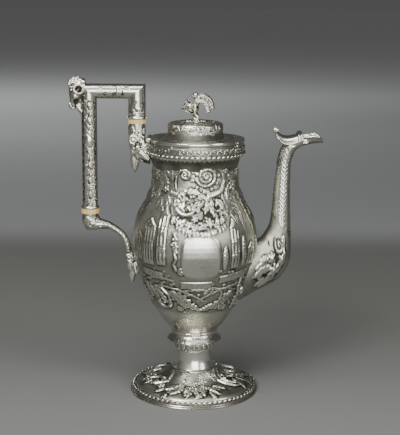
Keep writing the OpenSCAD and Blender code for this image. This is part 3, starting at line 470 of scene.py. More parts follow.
def grid_mesh(name, points, material, fields, rims):
    """A closed mesh from rows and columns of points in mm, with fields stored on its points."""
    rows, columns = points.shape[:2]
    flat = points.reshape(-1, 3)
    faces = grid_faces(rows, columns, True)
    if faces_inwards(flat, faces):
        faces = faces[:, ::-1]
    mesh = bpy.data.meshes.new(name)
    mesh.vertices.add(len(flat))
    mesh.vertices.foreach_set("co", (flat * MM).ravel())
    mesh.loops.add(faces.size)
    mesh.loops.foreach_set("vertex_index", faces.ravel().astype(np.int32))
    mesh.polygons.add(len(faces))
    mesh.polygons.foreach_set("loop_start", 4 * np.arange(len(faces), dtype=np.int32))
    smooth = np.ones(len(faces), bool)
    for rim in rims:
        smooth[rim * columns:(rim + 1) * columns] = False
    mesh.update(calc_edges=True)
    mesh.polygons.foreach_set("use_smooth", smooth)
    for label, values in fields.items():
        vector = values.ndim == 3
        layer = mesh.attributes.new(label, "FLOAT_VECTOR" if vector else "FLOAT", "POINT")
        layer.data.foreach_set("vector" if vector else "value", values.astype(np.float32).ravel())
    mesh.materials.append(material)
    return mesh


def outward(points):
    """The unit direction away from the wall at each point of a grid that closes around."""
    around = np.roll(points, -1, 1) - np.roll(points, 1, 1)
    along = np.gradient(points, axis=0)
    away = np.cross(around, along)
    away /= np.linalg.norm(away, axis=2, keepdims=True) + 1e-12
    middle = points.mean(axis=1, keepdims=True)
    return away if ((points - middle) * away).sum() > 0 else -away


def turned_points(outline, columns):
    """An outline of [radius, height] turned about the pot's axis. Column 0 faces the viewer."""
    turn = full_turn(columns)
    r, z = outline[:, 0][:, None], outline[:, 1][:, None]
    return np.stack([r * np.sin(turn), -r * np.cos(turn), z + 0 * turn], -1)


# %% Outlines and curves
def distances(points):
    """How far each point of a run lies from its start, along it."""
    return np.insert(np.cumsum(np.linalg.norm(np.diff(points, axis=0), axis=1)), 0, 0)


def picked(points, far, at):
    """The points of a run at given distances along it, where far is each point's own distance."""
    return np.stack([np.interp(at, far, column) for column in points.T], -1)


def even_rows(outline, step):
    """The outline with its points a step apart along it, and their lengths from its start."""
    outline = np.asarray(outline, float)
    far = distances(outline)
    lengths = np.linspace(0, far[-1], int(round(far[-1] / step)) + 1)
    return picked(outline, far, lengths), lengths


def bezier(points):
    """A cubic curve of 24 steps, drawn out by four control points."""
    p = [np.array(v, float) for v in points]
    t = np.linspace(0, 1, 25)[:, None]
    return (1 - t) ** 3 * p[0] + 3 * (1 - t) ** 2 * t * p[1] + 3 * (1 - t) * t * t * p[2] + t ** 3 * p[3]


def spline(knots, steps):
    """A smooth curve through the knots, with a number of steps between each two of them."""
    ends = np.concatenate([[2 * knots[0] - knots[1]], knots, [2 * knots[-1] - knots[-2]]])
    t = np.linspace(0, 1, steps, endpoint=False)[:, None]
    parts = []
    for i in range(len(knots) - 1):
        p, q, r, s = ends[i:i + 4]
        parts.append(0.5 * (2 * q + (r - p) * t + (2 * p - 5 * q + 4 * r - s) * t ** 2
                            + (3 * q - p - 3 * r + s) * t ** 3))
    return np.concatenate(parts + [knots[-1:]])


def joined(*curves):
    """Curves that follow each other, as one outline without the points they share."""
    return np.concatenate([curves[0]] + [np.asarray(curve)[1:] for curve in curves[1:]])


# %% [markdown]
# ## Growing geometry with nodes
#
# A Geometry Nodes tree is a recipe with named sizes. Its result is turned into a plain mesh as soon as
# it is grown, so that the piece can ride on a body like any other. The modifier's values are set by the
# identifier of each socket, which stays the same when a label changes.


# %% Helpers for trees
def socket_id(tree, label):
    """The identifier of a tree's named input, which a modifier's value is set by."""
    return next(item.identifier for item in tree.interface.items_tree
                if item.item_type == "SOCKET" and item.in_out == "INPUT" and item.name == label)


def new_tree(name, sizes):
    """A Geometry Nodes tree with a geometry input and named inputs: {label: (kind, value)}."""
    tree = bpy.data.node_groups.new(name, "GeometryNodeTree")
    tree.interface.new_socket("Geometry", in_out="INPUT", socket_type="NodeSocketGeometry")
    tree.interface.new_socket("Geometry", in_out="OUTPUT", socket_type="NodeSocketGeometry")
    sizes = {**sizes, "Material": ("Material", None)}
    for label, (kind, value) in sizes.items():
        made = tree.interface.new_socket(label, in_out="INPUT", socket_type="NodeSocket" + kind)
        if value is not None:
            made.default_value = value
    return tree, add(tree, "NodeGroupInput").outputs


def finish_tree(tree, geometry, material_socket):
    """Ends a tree the way the export needs: real geometry with its material set."""
    real = add(tree, "GeometryNodeRealizeInstances", {"Geometry": geometry})
    painted = add(tree, "GeometryNodeSetMaterial", {"Geometry": real.outputs[0],
                  "Material": material_socket})
    add(tree, "NodeGroupOutput", {"Geometry": painted.outputs[0]})


def grown(name, mesh, tree, material, values):
    """The result of a tree on a mesh, as a plain object of its own without the modifier."""
    base = link_piece(name + "_base", mesh)
    modifier = base.modifiers.new("grow", "NODES")
    modifier.node_group = tree
    modifier[socket_id(tree, "Material")] = material
    for label, value in values.items():
        modifier[socket_id(tree, label)] = value
    ready = base.evaluated_get(bpy.context.evaluated_depsgraph_get())
    result = bpy.data.meshes.new_from_object(ready)
    result.name = name
    bpy.data.objects.remove(base)
    return link_piece(name, result)


def fit_out(piece, body, gone=()):
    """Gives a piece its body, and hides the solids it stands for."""
    if gone:
        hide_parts(*gone)
    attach(piece, body)
    print(piece.name, "triangles:", sum(len(face.vertices) - 2 for face in piece.data.polygons))
    return piece


# %% Tree that raises the relief
def relief_tree():
    """Moves every point along its stored direction by its stored relief, and adds hammer marks."""
    tree, given = new_tree("raise the chasing", {"Depth": ("Float", 1.0),
                           "Hammer Marks": ("Float", 0.06), "Mark Size": ("Float", 8.0),
                           "Seed": ("Int", 4)})
    relief = add(tree, "GeometryNodeInputNamedAttribute", {"Name": "relief"}, data_type="FLOAT")
    outer = add(tree, "GeometryNodeInputNamedAttribute", {"Name": "outer"}, data_type="FLOAT")
    away = add(tree, "GeometryNodeInputNamedAttribute", {"Name": "away"}, data_type="FLOAT_VECTOR")
    scale = add(tree, "ShaderNodeMath", {0: 1 / MM, 1: given["Mark Size"]}, operation="DIVIDE")
    mark = add(tree, "ShaderNodeTexNoise", {"Scale": scale.outputs[0], "Detail": 0.0,
               "W": given["Seed"]}, noise_dimensions="4D")
    level = add(tree, "ShaderNodeMath", {0: mark.outputs["Fac"], 1: 0.5}, operation="SUBTRACT")
    marks = add(tree, "ShaderNodeMath", {0: level.outputs[0], 1: given["Hammer Marks"]},
                operation="MULTIPLY")
    own = add(tree, "ShaderNodeMath", {0: marks.outputs[0], 1: outer.outputs["Attribute"]},
              operation="MULTIPLY")
    deep = add(tree, "ShaderNodeMath", {0: relief.outputs["Attribute"], 1: given["Depth"],
               2: own.outputs[0]}, operation="MULTIPLY_ADD")
    metres = add(tree, "ShaderNodeMath", {0: deep.outputs[0], 1: MM}, operation="MULTIPLY")
    offset = add(tree, "ShaderNodeVectorMath", {0: away.outputs["Attribute"],
                 "Scale": metres.outputs[0]}, operation="SCALE")
    raised = add(tree, "GeometryNodeSetPosition", {"Geometry": given["Geometry"],
                 "Offset": offset.outputs["Vector"]})
    finish_tree(tree, raised.outputs[0], given["Material"])
    return tree


RELIEF = relief_tree()
print("nodes that raise the chasing:", len(RELIEF.nodes))


# %% Chased sheets
FADE_ROWS = 3  # rows over which a rim sinks back to its solid


def chased_piece(name, points, work, material, body, gone=(), lift=0.4, wall=0.45,
                 marks=0.06, ends=(True, True), rows=None, inner_step=24):
    """A closed sheet with its chased work on the outside.

    lift is how far its ground stands off the solid under it, wall how deep its inner face lies.
    ends says which rims sink back to the solid. rows picks a share of the wall for one piece.
    """
    low, high = rows or (0, len(points) - 1)
    part = slice(low, high + 1)
    away = outward(points)[part]
    outer = points[part]
    count = len(outer)
    fade = np.ones(count)
    ramp = np.clip(np.arange(count) / FADE_ROWS, 0, 1)
    if ends[0]:
        fade = np.minimum(fade, ramp)
    if ends[1]:
        fade = np.minimum(fade, ramp[::-1])
    pick = np.unique(np.linspace(0, count - 1, max(2, count // inner_step)).round().astype(int))[::-1]
    inner = outer[pick] - wall * away[pick]
    spare = np.zeros(inner.shape[:2])
    relief = (work.height[part] + lift) * fade[:, None]
    fields = {"relief": np.concatenate([relief, spare]),
              "outer": np.concatenate([0 * relief + fade[:, None], spare]),
              "away": np.concatenate([away, away[pick]]),
              # The inner face is painted 0.6 dark: painted shade inside the sheet, where little light
              # reaches.
              "oxide_and_shade": np.concatenate([hollows(work)[part], spare + 0.6]),
              "matting": np.concatenate([(work.ground * (work.height < 0.35))[part], spare])}
    rims = (count - 1, count + len(inner) - 1)
    mesh = grid_mesh(name + "_sheet", np.concatenate([outer, inner]), material, fields, rims)
    piece = grown(name, mesh, RELIEF, material, {"Hammer Marks": marks})
    return fit_out(piece, body, gone)


# %% [markdown]
# ## The chased wall of the body
#
# The body is one raised sheet. Its construction solid carries the true inside, the mouth and the
# strainer, so the chased face is laid over it here. Its outline is the same pear: three curves, from
# the base to the belly, to the neck, and to the mouth. So much fine work needs a fine grid, so the
# wall is kept as three pieces, one above the other, cut from the same field of heights.
#
# The composition follows the custom of such pots. Flowers and volutes hang under the neck, foliage
# drops between them, a plain burnished field is left on each side for an owner's mark, small buildings
# and trees stand beside it, and acanthus scrolls close the picture below. The bowl under them is plain.

# %% Outline of the body
BODY_BASE_R, BELLY_R, NECK_R, LIP_R = 24.0, 63.4, 42.4, 47.7
BASE_Z, BELLY_Z, NECK_Z, BAND_Z = 65.6, 154.0, 231.0, 249.3
BASE_LEAN, BASE_HANDLE = math.radians(39), 52.0
SHOULDER = NECK_Z - BELLY_Z
body_curve = joined(
    bezier([(BODY_BASE_R, BASE_Z), (BODY_BASE_R + BASE_HANDLE * math.sin(BASE_LEAN),
           BASE_Z + BASE_HANDLE * math.cos(BASE_LEAN)), (BELLY_R, BELLY_Z - 4), (BELLY_R, BELLY_Z)]),
    bezier([(BELLY_R, BELLY_Z), (BELLY_R, BELLY_Z + 0.55 * SHOULDER),
           (NECK_R, NECK_Z - 0.48 * SHOULDER), (NECK_R, NECK_Z)]),
    bezier([(NECK_R, NECK_Z), (NECK_R, NECK_Z + 1), (LIP_R - 7.9, BAND_Z - 10.2), (LIP_R, BAND_Z)]))
SKIN_LOW, SKIN_HIGH = BASE_Z + 1.6, BAND_Z - 1.2
BODY_STEP, BODY_COLUMNS = 0.57, 700
body_skin = body_curve[(body_curve[:, 1] > SKIN_LOW) & (body_curve[:, 1] < SKIN_HIGH)]
body_rows, body_length = even_rows(body_skin, BODY_STEP)
print("body wall:", len(body_rows), "rows of", BODY_COLUMNS)


def up(z):
    """The length along the body's wall at a height."""
    return float(np.interp(z, body_rows[:, 1], body_length))


# %% [markdown]
# ## Drawing the picture
#
# Each function below draws one zone about the middle of a side. `side` is 1 on the front and -1 on the
# back, where the zones are mirrored, so that the handle and the spout keep the same ornament beside
# them. Leaves that repeat are placed by a seeded draw, which gives the loose order of hand work.


# %% Border under the neck
def mirrored(aim, side):
    """An aim in degrees, mirrored on the back."""
    return aim if side > 0 else 180 - aim


def neck_border(w, at, side):
    """Hook volute, spiral rosette and hanging flowers under the neck, about one side's middle."""
    press_flower(w, at + 15 * side, up(230.5), 16, 11, 1.2)
    where, x, y = w.spot(at + 15 * side, up(230.5), 17)
    w.cut(where, 2 - abs(np.hypot(x, y) - 12.2) / 0.5, 0.5)
    press_volute(w, at + 15 * side, up(230.5), 10.4, 2.2, 200 if side > 0 else 340, side, 1.7, 2.1)
    hook = [(-8.5 * side, -15), (-9.5 * side, -8), (-8.5 * side, -1), (-5 * side, 4), (0, 5)]
    press_volute(w, at - 13 * side, up(232), 5.0, 1.5, 90, -side, 1.5, 1.7, hook)
    sweep_leaf = [(12 * side, 8.5), (18 * side, 3), (20.5 * side, -5), (16 * side, -15), (3 * side, -19)]
    press_stroke(w, at + 15 * side, up(230.5), sweep_leaf, 1.4, 3.2, 1.4)
    engrave(w, at + 15 * side, up(230.5), sweep_leaf, 0.6, 0.4, 0.5)
    for step in range(-84, 90, 12):
        press_leaf(w, at + step * side, up(237), 10, 2.6, 90, 0.6 if step % 24 else -0.6, 3, 0.45, 0.6)
        press_leaf(w, at + (step + 6) * side, up(238), 9, 2.0, 90, 0, 2, 0.4, 0.6)
    for step, z, size, petals in (
            (-60, 230, 6.2, 5), (-41, 217.5, 4.6, 6), (-74, 219, 5.2, 6), (58, 220, 6.6, 6),
            (73, 231, 6.0, 5), (45, 236, 4.4, 5)):
        press_flower(w, at + step * side, up(z), size, petals, 1.4, 0.4)
    for step, z, size, width, aim in (
            (-31, 226, 15, 2.6, 92), (-33, 229, 10, 2.0, 128), (-29, 229, 10, 2.0, 52),
            (-52, 213, 13, 3.0, 60), (44, 208, 15, 3.4, 70), (50, 231, 13, 3.0, 300),
            (-66, 206, 13, 3.0, 96), (-76, 232, 11, 2.6, 30), (-48, 220, 16, 4.6, 74),
            (-38, 221, 14, 3.6, 112)):
        press_leaf(w, at + step * side, up(z), size, width, mirrored(aim, side), 1.0)


# %% Strands and foliage
def hanging_strands(w, at, side):
    """Long veined leaves that hang from the border towards the belly, beside the spout."""
    for step, z, size, aim, bend in (
            (50, 214, 34, 262, 2), (57, 212, 42, 268, -2), (64, 214, 38, 274, 2),
            (72, 212, 44, 268, -1.5), (80, 214, 36, 272, 1.5), (43, 206, 24, 275, -1.5)):
        press_leaf(w, at + step * side, up(z), size, 2.5, mirrored(aim, side), bend, 7, 0.9)
        engrave(w, at + step * side, up(z), [(0, 0), (bend * side, -size * 0.6)], 0.5, 0.4)


def falling_foliage(w, at, side):
    """A swag, broad leaves and blossoms over finer ones, between the border and the plain field."""
    draw = np.random.default_rng(11)
    for _ in range(90):
        step = draw.uniform(-24, 36)
        low = 181 + 0.020 * (step - 6) ** 2
        press_leaf(w, at + step * side, up(draw.uniform(low, 214)), draw.uniform(5, 8),
                   draw.uniform(1.4, 2.2), draw.uniform(0, 360), draw.uniform(-2.0, 2.0), 2,
                   draw.uniform(0.4, 0.7), 0.5)
    # Short cuts painted dark: painted shade in the gaps between the leaves, besides the oxide of a cut.
    for _ in range(24):
        step = draw.uniform(-22, 34)
        shaded_gap = [(0, 0), (draw.uniform(-3, 3), draw.uniform(-3, 3))]
        engrave(w, at + step * side, up(draw.uniform(184, 213)), shaded_gap, draw.uniform(0.9, 1.5), 0.4, 0.8)
    for i in range(15):
        step = -17 + i * 47 / 14
        press_leaf(w, at + step * side, up(179 + 0.012 * (step - 6) ** 2), draw.uniform(5, 7.5), 1.5,
                   draw.uniform(245, 295), 0, 2, 0.9, 0.1)
    for step, z, size, width, aim, bend in (
            (-11, 215.4, 15, 3.6, 352, 1.2), (7, 211.5, 10, 2.8, 330, 1), (-3, 198, 13, 2.3, 52, 1),
            (2.5, 196.5, 12, 1.9, 60, 1), (11.5, 196.5, 14, 2.8, 80, -1), (17, 199, 11, 2.2, 62, 1),
            (27, 208.5, 16, 3.6, 298, 1), (21, 207, 14, 2.6, 268, -1), (33, 203, 12, 2.4, 282, 1),
            (2.5, 181.5, 11, 2.1, 4, 1), (5, 187, 9, 1.9, 352, -1), (-9, 190, 9, 2.0, 200, 1),
            (24, 191, 9, 2.2, 240, 1), (-22, 193, 9, 2.4, 262, 1)):
        press_leaf(w, at + step * side, up(z), size, width, mirrored(aim, side), bend * side, 2, 1.5, 0.0)
    swag = arc(-9.5 * side, 3, 10 * side, 3, -5.5 * side)
    press_stroke(w, at - 10 * side, up(196.5), swag, 2.8, 1.5, 1.7)
    stem = [(-5 * side, -8), (-5.4 * side, -2), (0, 4.6)]
    press_volute(w, at - 18 * side, up(209), 4.6, 1.3, 90, -side, 1.3, 1.4, stem)
    for step, z, size, petals in (
            (15.5, 187, 5.4, 6), (-5.5, 185.5, 4.8, 5), (-17, 187.5, 4.6, 5), (-5.3, 178.5, 3.6, 5),
            (23, 184, 3.8, 5), (30, 190, 3.8, 5), (0, 190.5, 3.6, 5)):
        press_flower(w, at + step * side, up(z), size, petals, 1.6, 0.5, 0.5)
    # Painted shade in the gaps between the leaves, over an oval zone, darker than their oxide; the stain is
    # rubbed off the high leaves
    zone, x, y = w.spot(at + 6 * side, up(199), 28)
    oval = np.clip(2 - 2 * (x / 27) ** 2 - 2 * (y / 21) ** 2, 0, 1)
    painted_gap_shade = np.clip(1.1 - w.height[zone] / 0.9, 0, 1) * oval
    rubbed = w.stain[zone] * np.clip(6 - 5 * w.height[zone], 0, 1)
    w.stain[zone] = np.maximum(rubbed, 0.42 * painted_gap_shade)
    for _ in range(34):
        step = draw.choice([draw.uniform(-62, -25), draw.uniform(36, 52)])
        press_leaf(w, at + step * side, up(draw.uniform(199, 216)), draw.uniform(7, 11),
                   draw.uniform(1.8, 2.8), draw.uniform(190, 350), draw.uniform(-1.2, 1.2), 2,
                   draw.uniform(0.5, 0.9), 0.15)


# %% [markdown]
# ## Small buildings
#
# The picture on such pots is a make-believe landscape. Here it is a gabled hall with a stair turret, a
# chapel and clipped trees: plain building blocks, each made from a raised front, thin pilasters,
# window slots, string courses and a pointed roof.


# %% Buildings
def press_front(w, degrees, base, wide, tall, bays, storeys, roof, height=0.7):
    """A building's front with pilasters, windows and courses. base is the z of its foot."""
    foot = up(base)
    where, x, y = w.spot(degrees, foot + tall / 2, tall / 2 + roof + wide)
    y = y + tall / 2
    wall = np.minimum(wide / 2 - abs(x), np.minimum(y, tall - y))
    w.press(where, wall / 0.7, height, edge=0.25, keep=0.1)
    inside = wall > 0
    pitch = wide / bays
    beside = abs((x + wide / 2) % pitch - pitch / 2)
    w.height[where] += inside * 0.4 * np.clip((beside - pitch / 2 + 0.75) / 0.35, 0, 1)
    storey = tall / storeys
    rise = y % storey
    slot = np.minimum(0.24 * pitch + 0.15 - beside, np.minimum(rise - 0.24 * storey, 0.80 * storey - rise))
    w.cut(where, inside * np.clip(slot / 0.3, 0, 1), 0.6)
    course = 1 - np.minimum(rise, storey - rise) / 0.8
    on_front = (abs(x) < wide / 2 + 0.5) * (y > 0.5) * (y < tall + 0.8)
    w.height[where] += on_front * 0.6 * np.clip(course, 0, 1)
    if roof:
        peak = (tall + roof - y) / roof * (wide / 2 + 1.0) - abs(x)
        slope = np.minimum(peak, (y - tall) * 1.2)
        w.press(where, slope / 2.4, height * 2.2, edge=0.35, keep=0.0)
        w.cut(where, (slope > 0) * np.clip(np.sin(y * 2.6) - 0.2, 0, 1), 0.08)


# %% Trees and garden walls
def press_tree(w, degrees, base, tall, wide, lean, seed):
    """A winding trunk under a crown of small overlapping tufts."""
    draw = np.random.default_rng(seed)
    where, x, y = w.spot(degrees, up(base), tall + wide)
    trunk = [(0, 0), (-0.06 * tall, 0.16 * tall), (0.02 * tall, 0.32 * tall), (-0.03 * tall, 0.48 * tall),
             (lean, 0.66 * tall)]
    w.press(where, stroke(x, y, trunk, 1.5, 0.9), 1.5, edge=0.45, keep=0.1)
    for _ in range(int(wide * 4)):
        away, high = draw.uniform(-wide / 2, wide / 2), draw.uniform(0.5, 1.0) * tall
        tuft = draw.uniform(1.3, 2.2)
        far = np.hypot(x - lean - away * (1.3 - high / tall), (y - high) * 1.2)
        w.press(where, 1 - far / tuft, draw.uniform(0.8, 1.6), keep=0.3)


def press_cypress(w, degrees, base, tall):
    """A clipped pointed tree, with ridges that wind up it."""
    where, x, y = w.spot(degrees, up(base) + tall / 2, tall)
    crown = 1 - (abs(x) / 2.9) ** 1.5 - (abs(y + 0.06 * tall) / (0.5 * tall)) ** 2.4
    w.press(where, crown, 1.3, edge=0.25, keep=0.1)
    w.cut(where, np.clip(np.sin(y * 1.9 - x * 1.6), 0, 1) * np.clip(crown * 3, 0, 1), 0.55)


def press_wall(w, degrees, z, reach, rise, side):
    """A low garden wall: a plain face 7 mm tall under a coping."""
    tilt = rise * side
    where, x, y = w.spot(degrees, up(z), reach)
    below = tilt * x / reach - y
    face = np.minimum(reach / 2 - abs(x), np.minimum(below, 7 - below))
    w.press(where, face / 0.8, 0.75, edge=0.3, keep=0.1)
    press_stroke(w, degrees, up(z), [(-reach / 2, -tilt / 2), (reach / 2, tilt / 2)], 0.8, 0.8, 1.3, 0.3)


# %% The whole landscape
def hamlet(w, at, side):
    """Hall and turret, chapel, garden walls and trees: a picture of no real place."""
    press_front(w, at - 61 * side, 147, 11, 22, 3, 2, 7, 0.6)
    press_front(w, at - 47 * side, 144, 15, 38, 4, 2, 9, 0.8)
    press_front(w, at - 31.5 * side, 145, 9.5, 49, 2, 3, 13, 1.1)
    press_tree(w, at - 17 * side, 141, 36, 7, -1.5 * side, 5)
    press_volute(w, at - 12 * side, up(139), 3.4, 1.1, 90, side, 1.1, 1.4)
    press_cypress(w, at + 29 * side, 141, 26)
    press_front(w, at + 40 * side, 141, 9, 40, 2, 3, 11, 1.0)
    press_cypress(w, at + 50 * side, 142, 33)
    press_front(w, at + 62 * side, 141, 13, 17, 3, 1, 8, 0.7)
    press_cypress(w, at + 74 * side, 142, 29)
    press_wall(w, at + 42 * side, 135, 34, 4, side)
    press_wall(w, at + 2 * side, 128, 30, 0, side)
    press_wall(w, at - 44 * side, 137, 26, -3, side)
    for step, z, reach, bend in ((-38, 127, 34, 3), (34, 122, 30, -3), (0, 117, 30, 2.5)):
        path = arc(-reach / 2, 0, reach / 2, 2 * side, bend * side)
        press_stroke(w, at + step * side, up(z), path, 1.3, 0.9, 0.9)
    draw = np.random.default_rng(23)
    for _ in range(90):
        step = draw.choice([draw.uniform(-70, -20), draw.uniform(26, 76), draw.uniform(-20, 26)])
        top = 141 if abs(step - 3) > 21 else 126
        where, x, y = w.spot(at + step * side, up(draw.uniform(114, top)), 4)
        w.press(where, 1 - np.hypot(x, 1.3 * y) / draw.uniform(1.1, 2.3), draw.uniform(0.7, 1.3), keep=0.5)


# %% Lower border
def lower_border(w, at, side):
    """Acanthus scrolls, a fan of leaves and flowers that close the picture below."""
    for way, far in ((1, 44), (-1, 40)):
        ribbon = arc(-far / 2 * way, 8, far / 2 * way, -8, 4 * way)
        path = [(x * side, y) for x, y in ribbon]
        press_stroke(w, at + (6 - 21 * way) * side, up(115), path, 1.4, 0.8, 1.0, 0.15)
    for step, z, size, width, aim in (
            (-58, 124, 20, 4.4, 275), (-53, 121, 24, 3.6, 292), (-47, 122, 26, 3.0, 300),
            (-28, 117, 32, 7.0, 318), (-22, 116, 22, 4.6, 294), (-12, 104, 17, 4.0, 330),
            (44, 116, 30, 6.0, 222), (36, 112, 18, 4.0, 246), (22, 104, 15, 3.6, 210),
            (56, 112, 20, 4.2, 262), (72, 118, 22, 4.6, 285), (-70, 118, 21, 4.4, 262),
            (80, 108, 16, 3.6, 255)):
        press_leaf(w, at + step * side, up(z), size, width, mirrored(aim, side), 1.8 * side, 5, 1.9, 0.1)
    for step, z, radius, begin, way, tail in (
            (-38, 105, 8.8, 20, -1, [(-6 * side, 18), (3 * side, 16), (8.8 * side, 9), (9.0 * side, 3)]),
            (62, 113, 7.0, 160, 1, [(-10 * side, 17), (-10.5 * side, 9), (-9 * side, 4), (-6.6 * side, 2)])):
        press_volute(w, at + step * side, up(z), radius, 1.2, begin if side > 0 else 180 - begin, way * side,
                     2.0, 2.4, tail)
    for step, z, size in (
            (31, 101, 5.4), (39, 98, 4.6), (35, 108, 4.2), (-64, 104, 4.8), (66, 99, 4.6), (-18, 98, 4.0),
            (-76, 103, 4.4)):
        press_flower(w, at + step * side, up(z), size, 6, 1.7, 0.2)
    draw = np.random.default_rng(31)
    for _ in range(12):
        press_leaf(w, at + draw.uniform(-88, 88) * side, up(draw.uniform(94, 118)), draw.uniform(4, 7),
                   draw.uniform(1.0, 1.6), draw.uniform(200, 340), 0.6, 2, draw.uniform(0.7, 1.2), 0.5)


# %% Draw the whole wall
body_work = Chasing(BODY_COLUMNS, body_rows[:, 0], body_length)
body_work.mat(up(91), up(234))
for centre, way in ((0, 1), (180, -1)):
    hanging_strands(body_work, centre, way)
    falling_foliage(body_work, centre, way)
    neck_border(body_work, centre, way)
    hamlet(body_work, centre, way)
    lower_border(body_work, centre, way)
for centre in (90, 270):
    press_flower(body_work, centre, up(228), 7, 7, 1.5)
    press_flower(body_work, centre, up(207), 6, 6, 1.4)
    for turn, z, aim in ((-8, 216, 60), (8, 216, 120), (-9, 199, 250), (9, 199, 290), (0, 193, 270)):
        press_leaf(body_work, centre + turn, up(z), 14, 3.4, aim, 1.2)
print("highest relief of the wall:", round(float(body_work.height.max()), 2), "mm")

# %% Plain fields, and the finished wall
FIELD_TURN, FIELD_Z, FIELD_WIDE, FIELD_TALL = 6.2, 153.5, 19.6, 21.5
SEAMS_Z = (121, 182)  # heights where the wall is parted into its three pieces
FIELD_FLAT = 0.35  # share of the wall's roundness that planishing has taken out of the field
for centre in (FIELD_TURN, 180 - FIELD_TURN):
    where, x, y = body_work.spot(centre, up(FIELD_Z), 34)
    plain = np.clip(3 * (1 - (abs(x / FIELD_WIDE) ** 4 + abs(y / FIELD_TALL) ** 4)), 0, 1)
    planished = 0.15 + FIELD_FLAT * x ** 2 / (2 * BELLY_R)
    body_work.height[where] = body_work.height[where] * (1 - plain) + planished * plain
    body_work.stain[where] *= 1 - plain
    body_work.ground[where] *= 1 - plain
    body_work.cut(where, plain * np.exp(-((y + 9.5) / 0.5) ** 2) * (x > -14), 0.12)
body_work.soften()
body_points = turned_points(body_rows, BODY_COLUMNS)
cut_low, cut_high = (int(np.searchsorted(body_rows[:, 1], z)) for z in SEAMS_Z)
for label, rows, ends in (
        ("bowl", (0, cut_low), (True, False)), ("belly", (cut_low, cut_high), (False, False)),
        ("shoulder", (cut_high, len(body_rows) - 1), (False, True))):
    chased_piece("body_chasing_" + label, body_points, body_work, CHASED, POT, ends=ends,
                 rows=rows)

# %% [markdown]
# ## Foot, stem and base of the body
#
# The spreading foot is raised and chased like the body: bunches of flowers stand in front and behind,
# with crescent scrolls beside them on a matted ground. The stem above it is plain and burnished, with a
# narrow band of upright leaves, and a scalloped collar of ribbed leaves covers the joint to the body.

# %% Chase the foot
FOOT_COLUMNS = 640
foot_curve = joined(
    bezier([(61.5, 4.4), (60.5, 9.4), (51.5, 11.4), (40.85, 13.6)]),
    bezier([(40.85, 13.6), (31.2, 15.4), (24.2, 20.8), (20.8, 25.8)]))
foot_rows, foot_length = even_rows(foot_curve[3:-1], 0.5)
foot_work = Chasing(FOOT_COLUMNS, foot_rows[:, 0], foot_length)
FOOT_END = foot_length[-1]
foot_work.mat(1.0, 0.92 * FOOT_END, 1.8)
for centre, way in ((0, 1), (180, -1)):
    draw = np.random.default_rng(7)
    for _ in range(16):
        press_leaf(foot_work, centre + draw.uniform(-32, 32) * way, draw.uniform(0.10, 0.62) * FOOT_END,
                   draw.uniform(9, 13), draw.uniform(2.2, 3.0), draw.uniform(200, 340), draw.uniform(-1, 1),
                   3, draw.uniform(0.9, 1.3), 0.3)
    for step, out, aim in (
            (-4, 0.44, 258), (8, 0.46, 285), (-14, 0.48, 238), (19, 0.46, 302), (-24, 0.48, 220),
            (-14, 0.94, 258), (34, 0.94, 282), (28, 0.50, 318)):
        press_leaf(foot_work, centre + step * way, out * FOOT_END, 15, 3.2, mirrored(aim, way), 1, 4, 1.9,
                   0.2)
    for step, out, size, petals in (
            (-1, 0.44, 6.4, 5), (14, 0.46, 5.4, 6), (-20, 0.50, 5.6, 5), (16, 0.70, 5.4, 6),
            (-13, 0.70, 4.6, 5), (4, 0.62, 4.8, 6), (-9, 0.30, 4.2, 5), (17, 0.82, 4.8, 5),
            (-22, 0.86, 4.4, 5), (46, 0.80, 4.0, 5)):
        press_flower(foot_work, centre + step * way, out * FOOT_END, size, petals, 2.6, draw.uniform(0, 2),
                     0.45)
    for turn, far, run in (
            (52, 28, [(3.7, 15), (-1.5, 8), (-4, 0), (-2, -8), (3.2, -15.5), (9, -18)]),
            (52, 28, [(8.5, 13), (3.8, 7), (1.6, 0), (4, -7), (9, -13), (14, -15)]),
            (98, 26, [(9, 6), (4, 10), (-1, 5), (-6, -2), (-10, -9), (-16, -14)]),
            (98, 26, [(12, 1), (7, 4), (3, 0), (-1, -6), (-5, -11), (-10, -15)]),
            (-52, 28, [(-4, 12), (1, 7), (3, 0), (1, -7), (-4, -13)]),
            (-70, 20, [(6, 8), (0, 6), (-4, 0), (-4, -7)])):
        path = [(x * way, y) for x, y in run]
        press_stroke(foot_work, centre + turn * way, far, path, 1.9, 0.9, 2.2, 0.3)
    for turn, out, aim in (
            (-44, 0.62, 200), (-60, 0.5, 250), (-38, 0.34, 235), (68, 0.3, 250), (84, 0.24, 240)):
        press_leaf(foot_work, centre + turn * way, out * FOOT_END, 12, 2.8, mirrored(aim, way), 1, 4, 1.5,
                   0.3)
    press_flower(foot_work, centre - 46 * way, 0.36 * FOOT_END, 4.6, 5, 1.9)
    press_volute(foot_work, centre + 72 * way, 0.34 * FOOT_END, 4.4, 1.2, 90, way, 1.4, 1.7)
for centre in (90, 270):
    press_flower(foot_work, centre, 0.40 * FOOT_END, 7.5, 7, 1.9)
    for turn in (-17, -9, 9, 17):
        press_leaf(foot_work, centre + turn, 0.42 * FOOT_END, 13, 2.8, 270 + turn, 1, 4, 1.5, 0.4)
foot_work.soften()
chased_piece("foot_chasing", turned_points(foot_rows, FOOT_COLUMNS), foot_work, CHASED, POT)

# %% Leaf band of the stem
band_rows, band_length = even_rows(joined([(18.5, 45.3), (19.5, 46)], [(19.5, 46), (19.9, 47)],
                                          [(19.9, 47), (19.9, 57.5)]), 0.4)
STEM_COLUMNS, STEM_LEAVES = 400, 22
stem_work = Chasing(STEM_COLUMNS, band_rows[:, 0], band_length)
stem_work.mat(0.5, band_length[-1], 0.8)
for i in range(STEM_LEAVES):
    press_leaf(stem_work, 360 * i / STEM_LEAVES, 1.8, 9.5, 1.9, 90, 0, 3, 0.5, 0.4)
    press_leaf(stem_work, 360 * (i + 0.5) / STEM_LEAVES, 4.5, 7.0, 1.2, 90, 0, 2, 0.3, 0.4)
chased_piece("stem_leaf_band", turned_points(band_rows, STEM_COLUMNS), stem_work, CHASED,
             POT, lift=0.25)

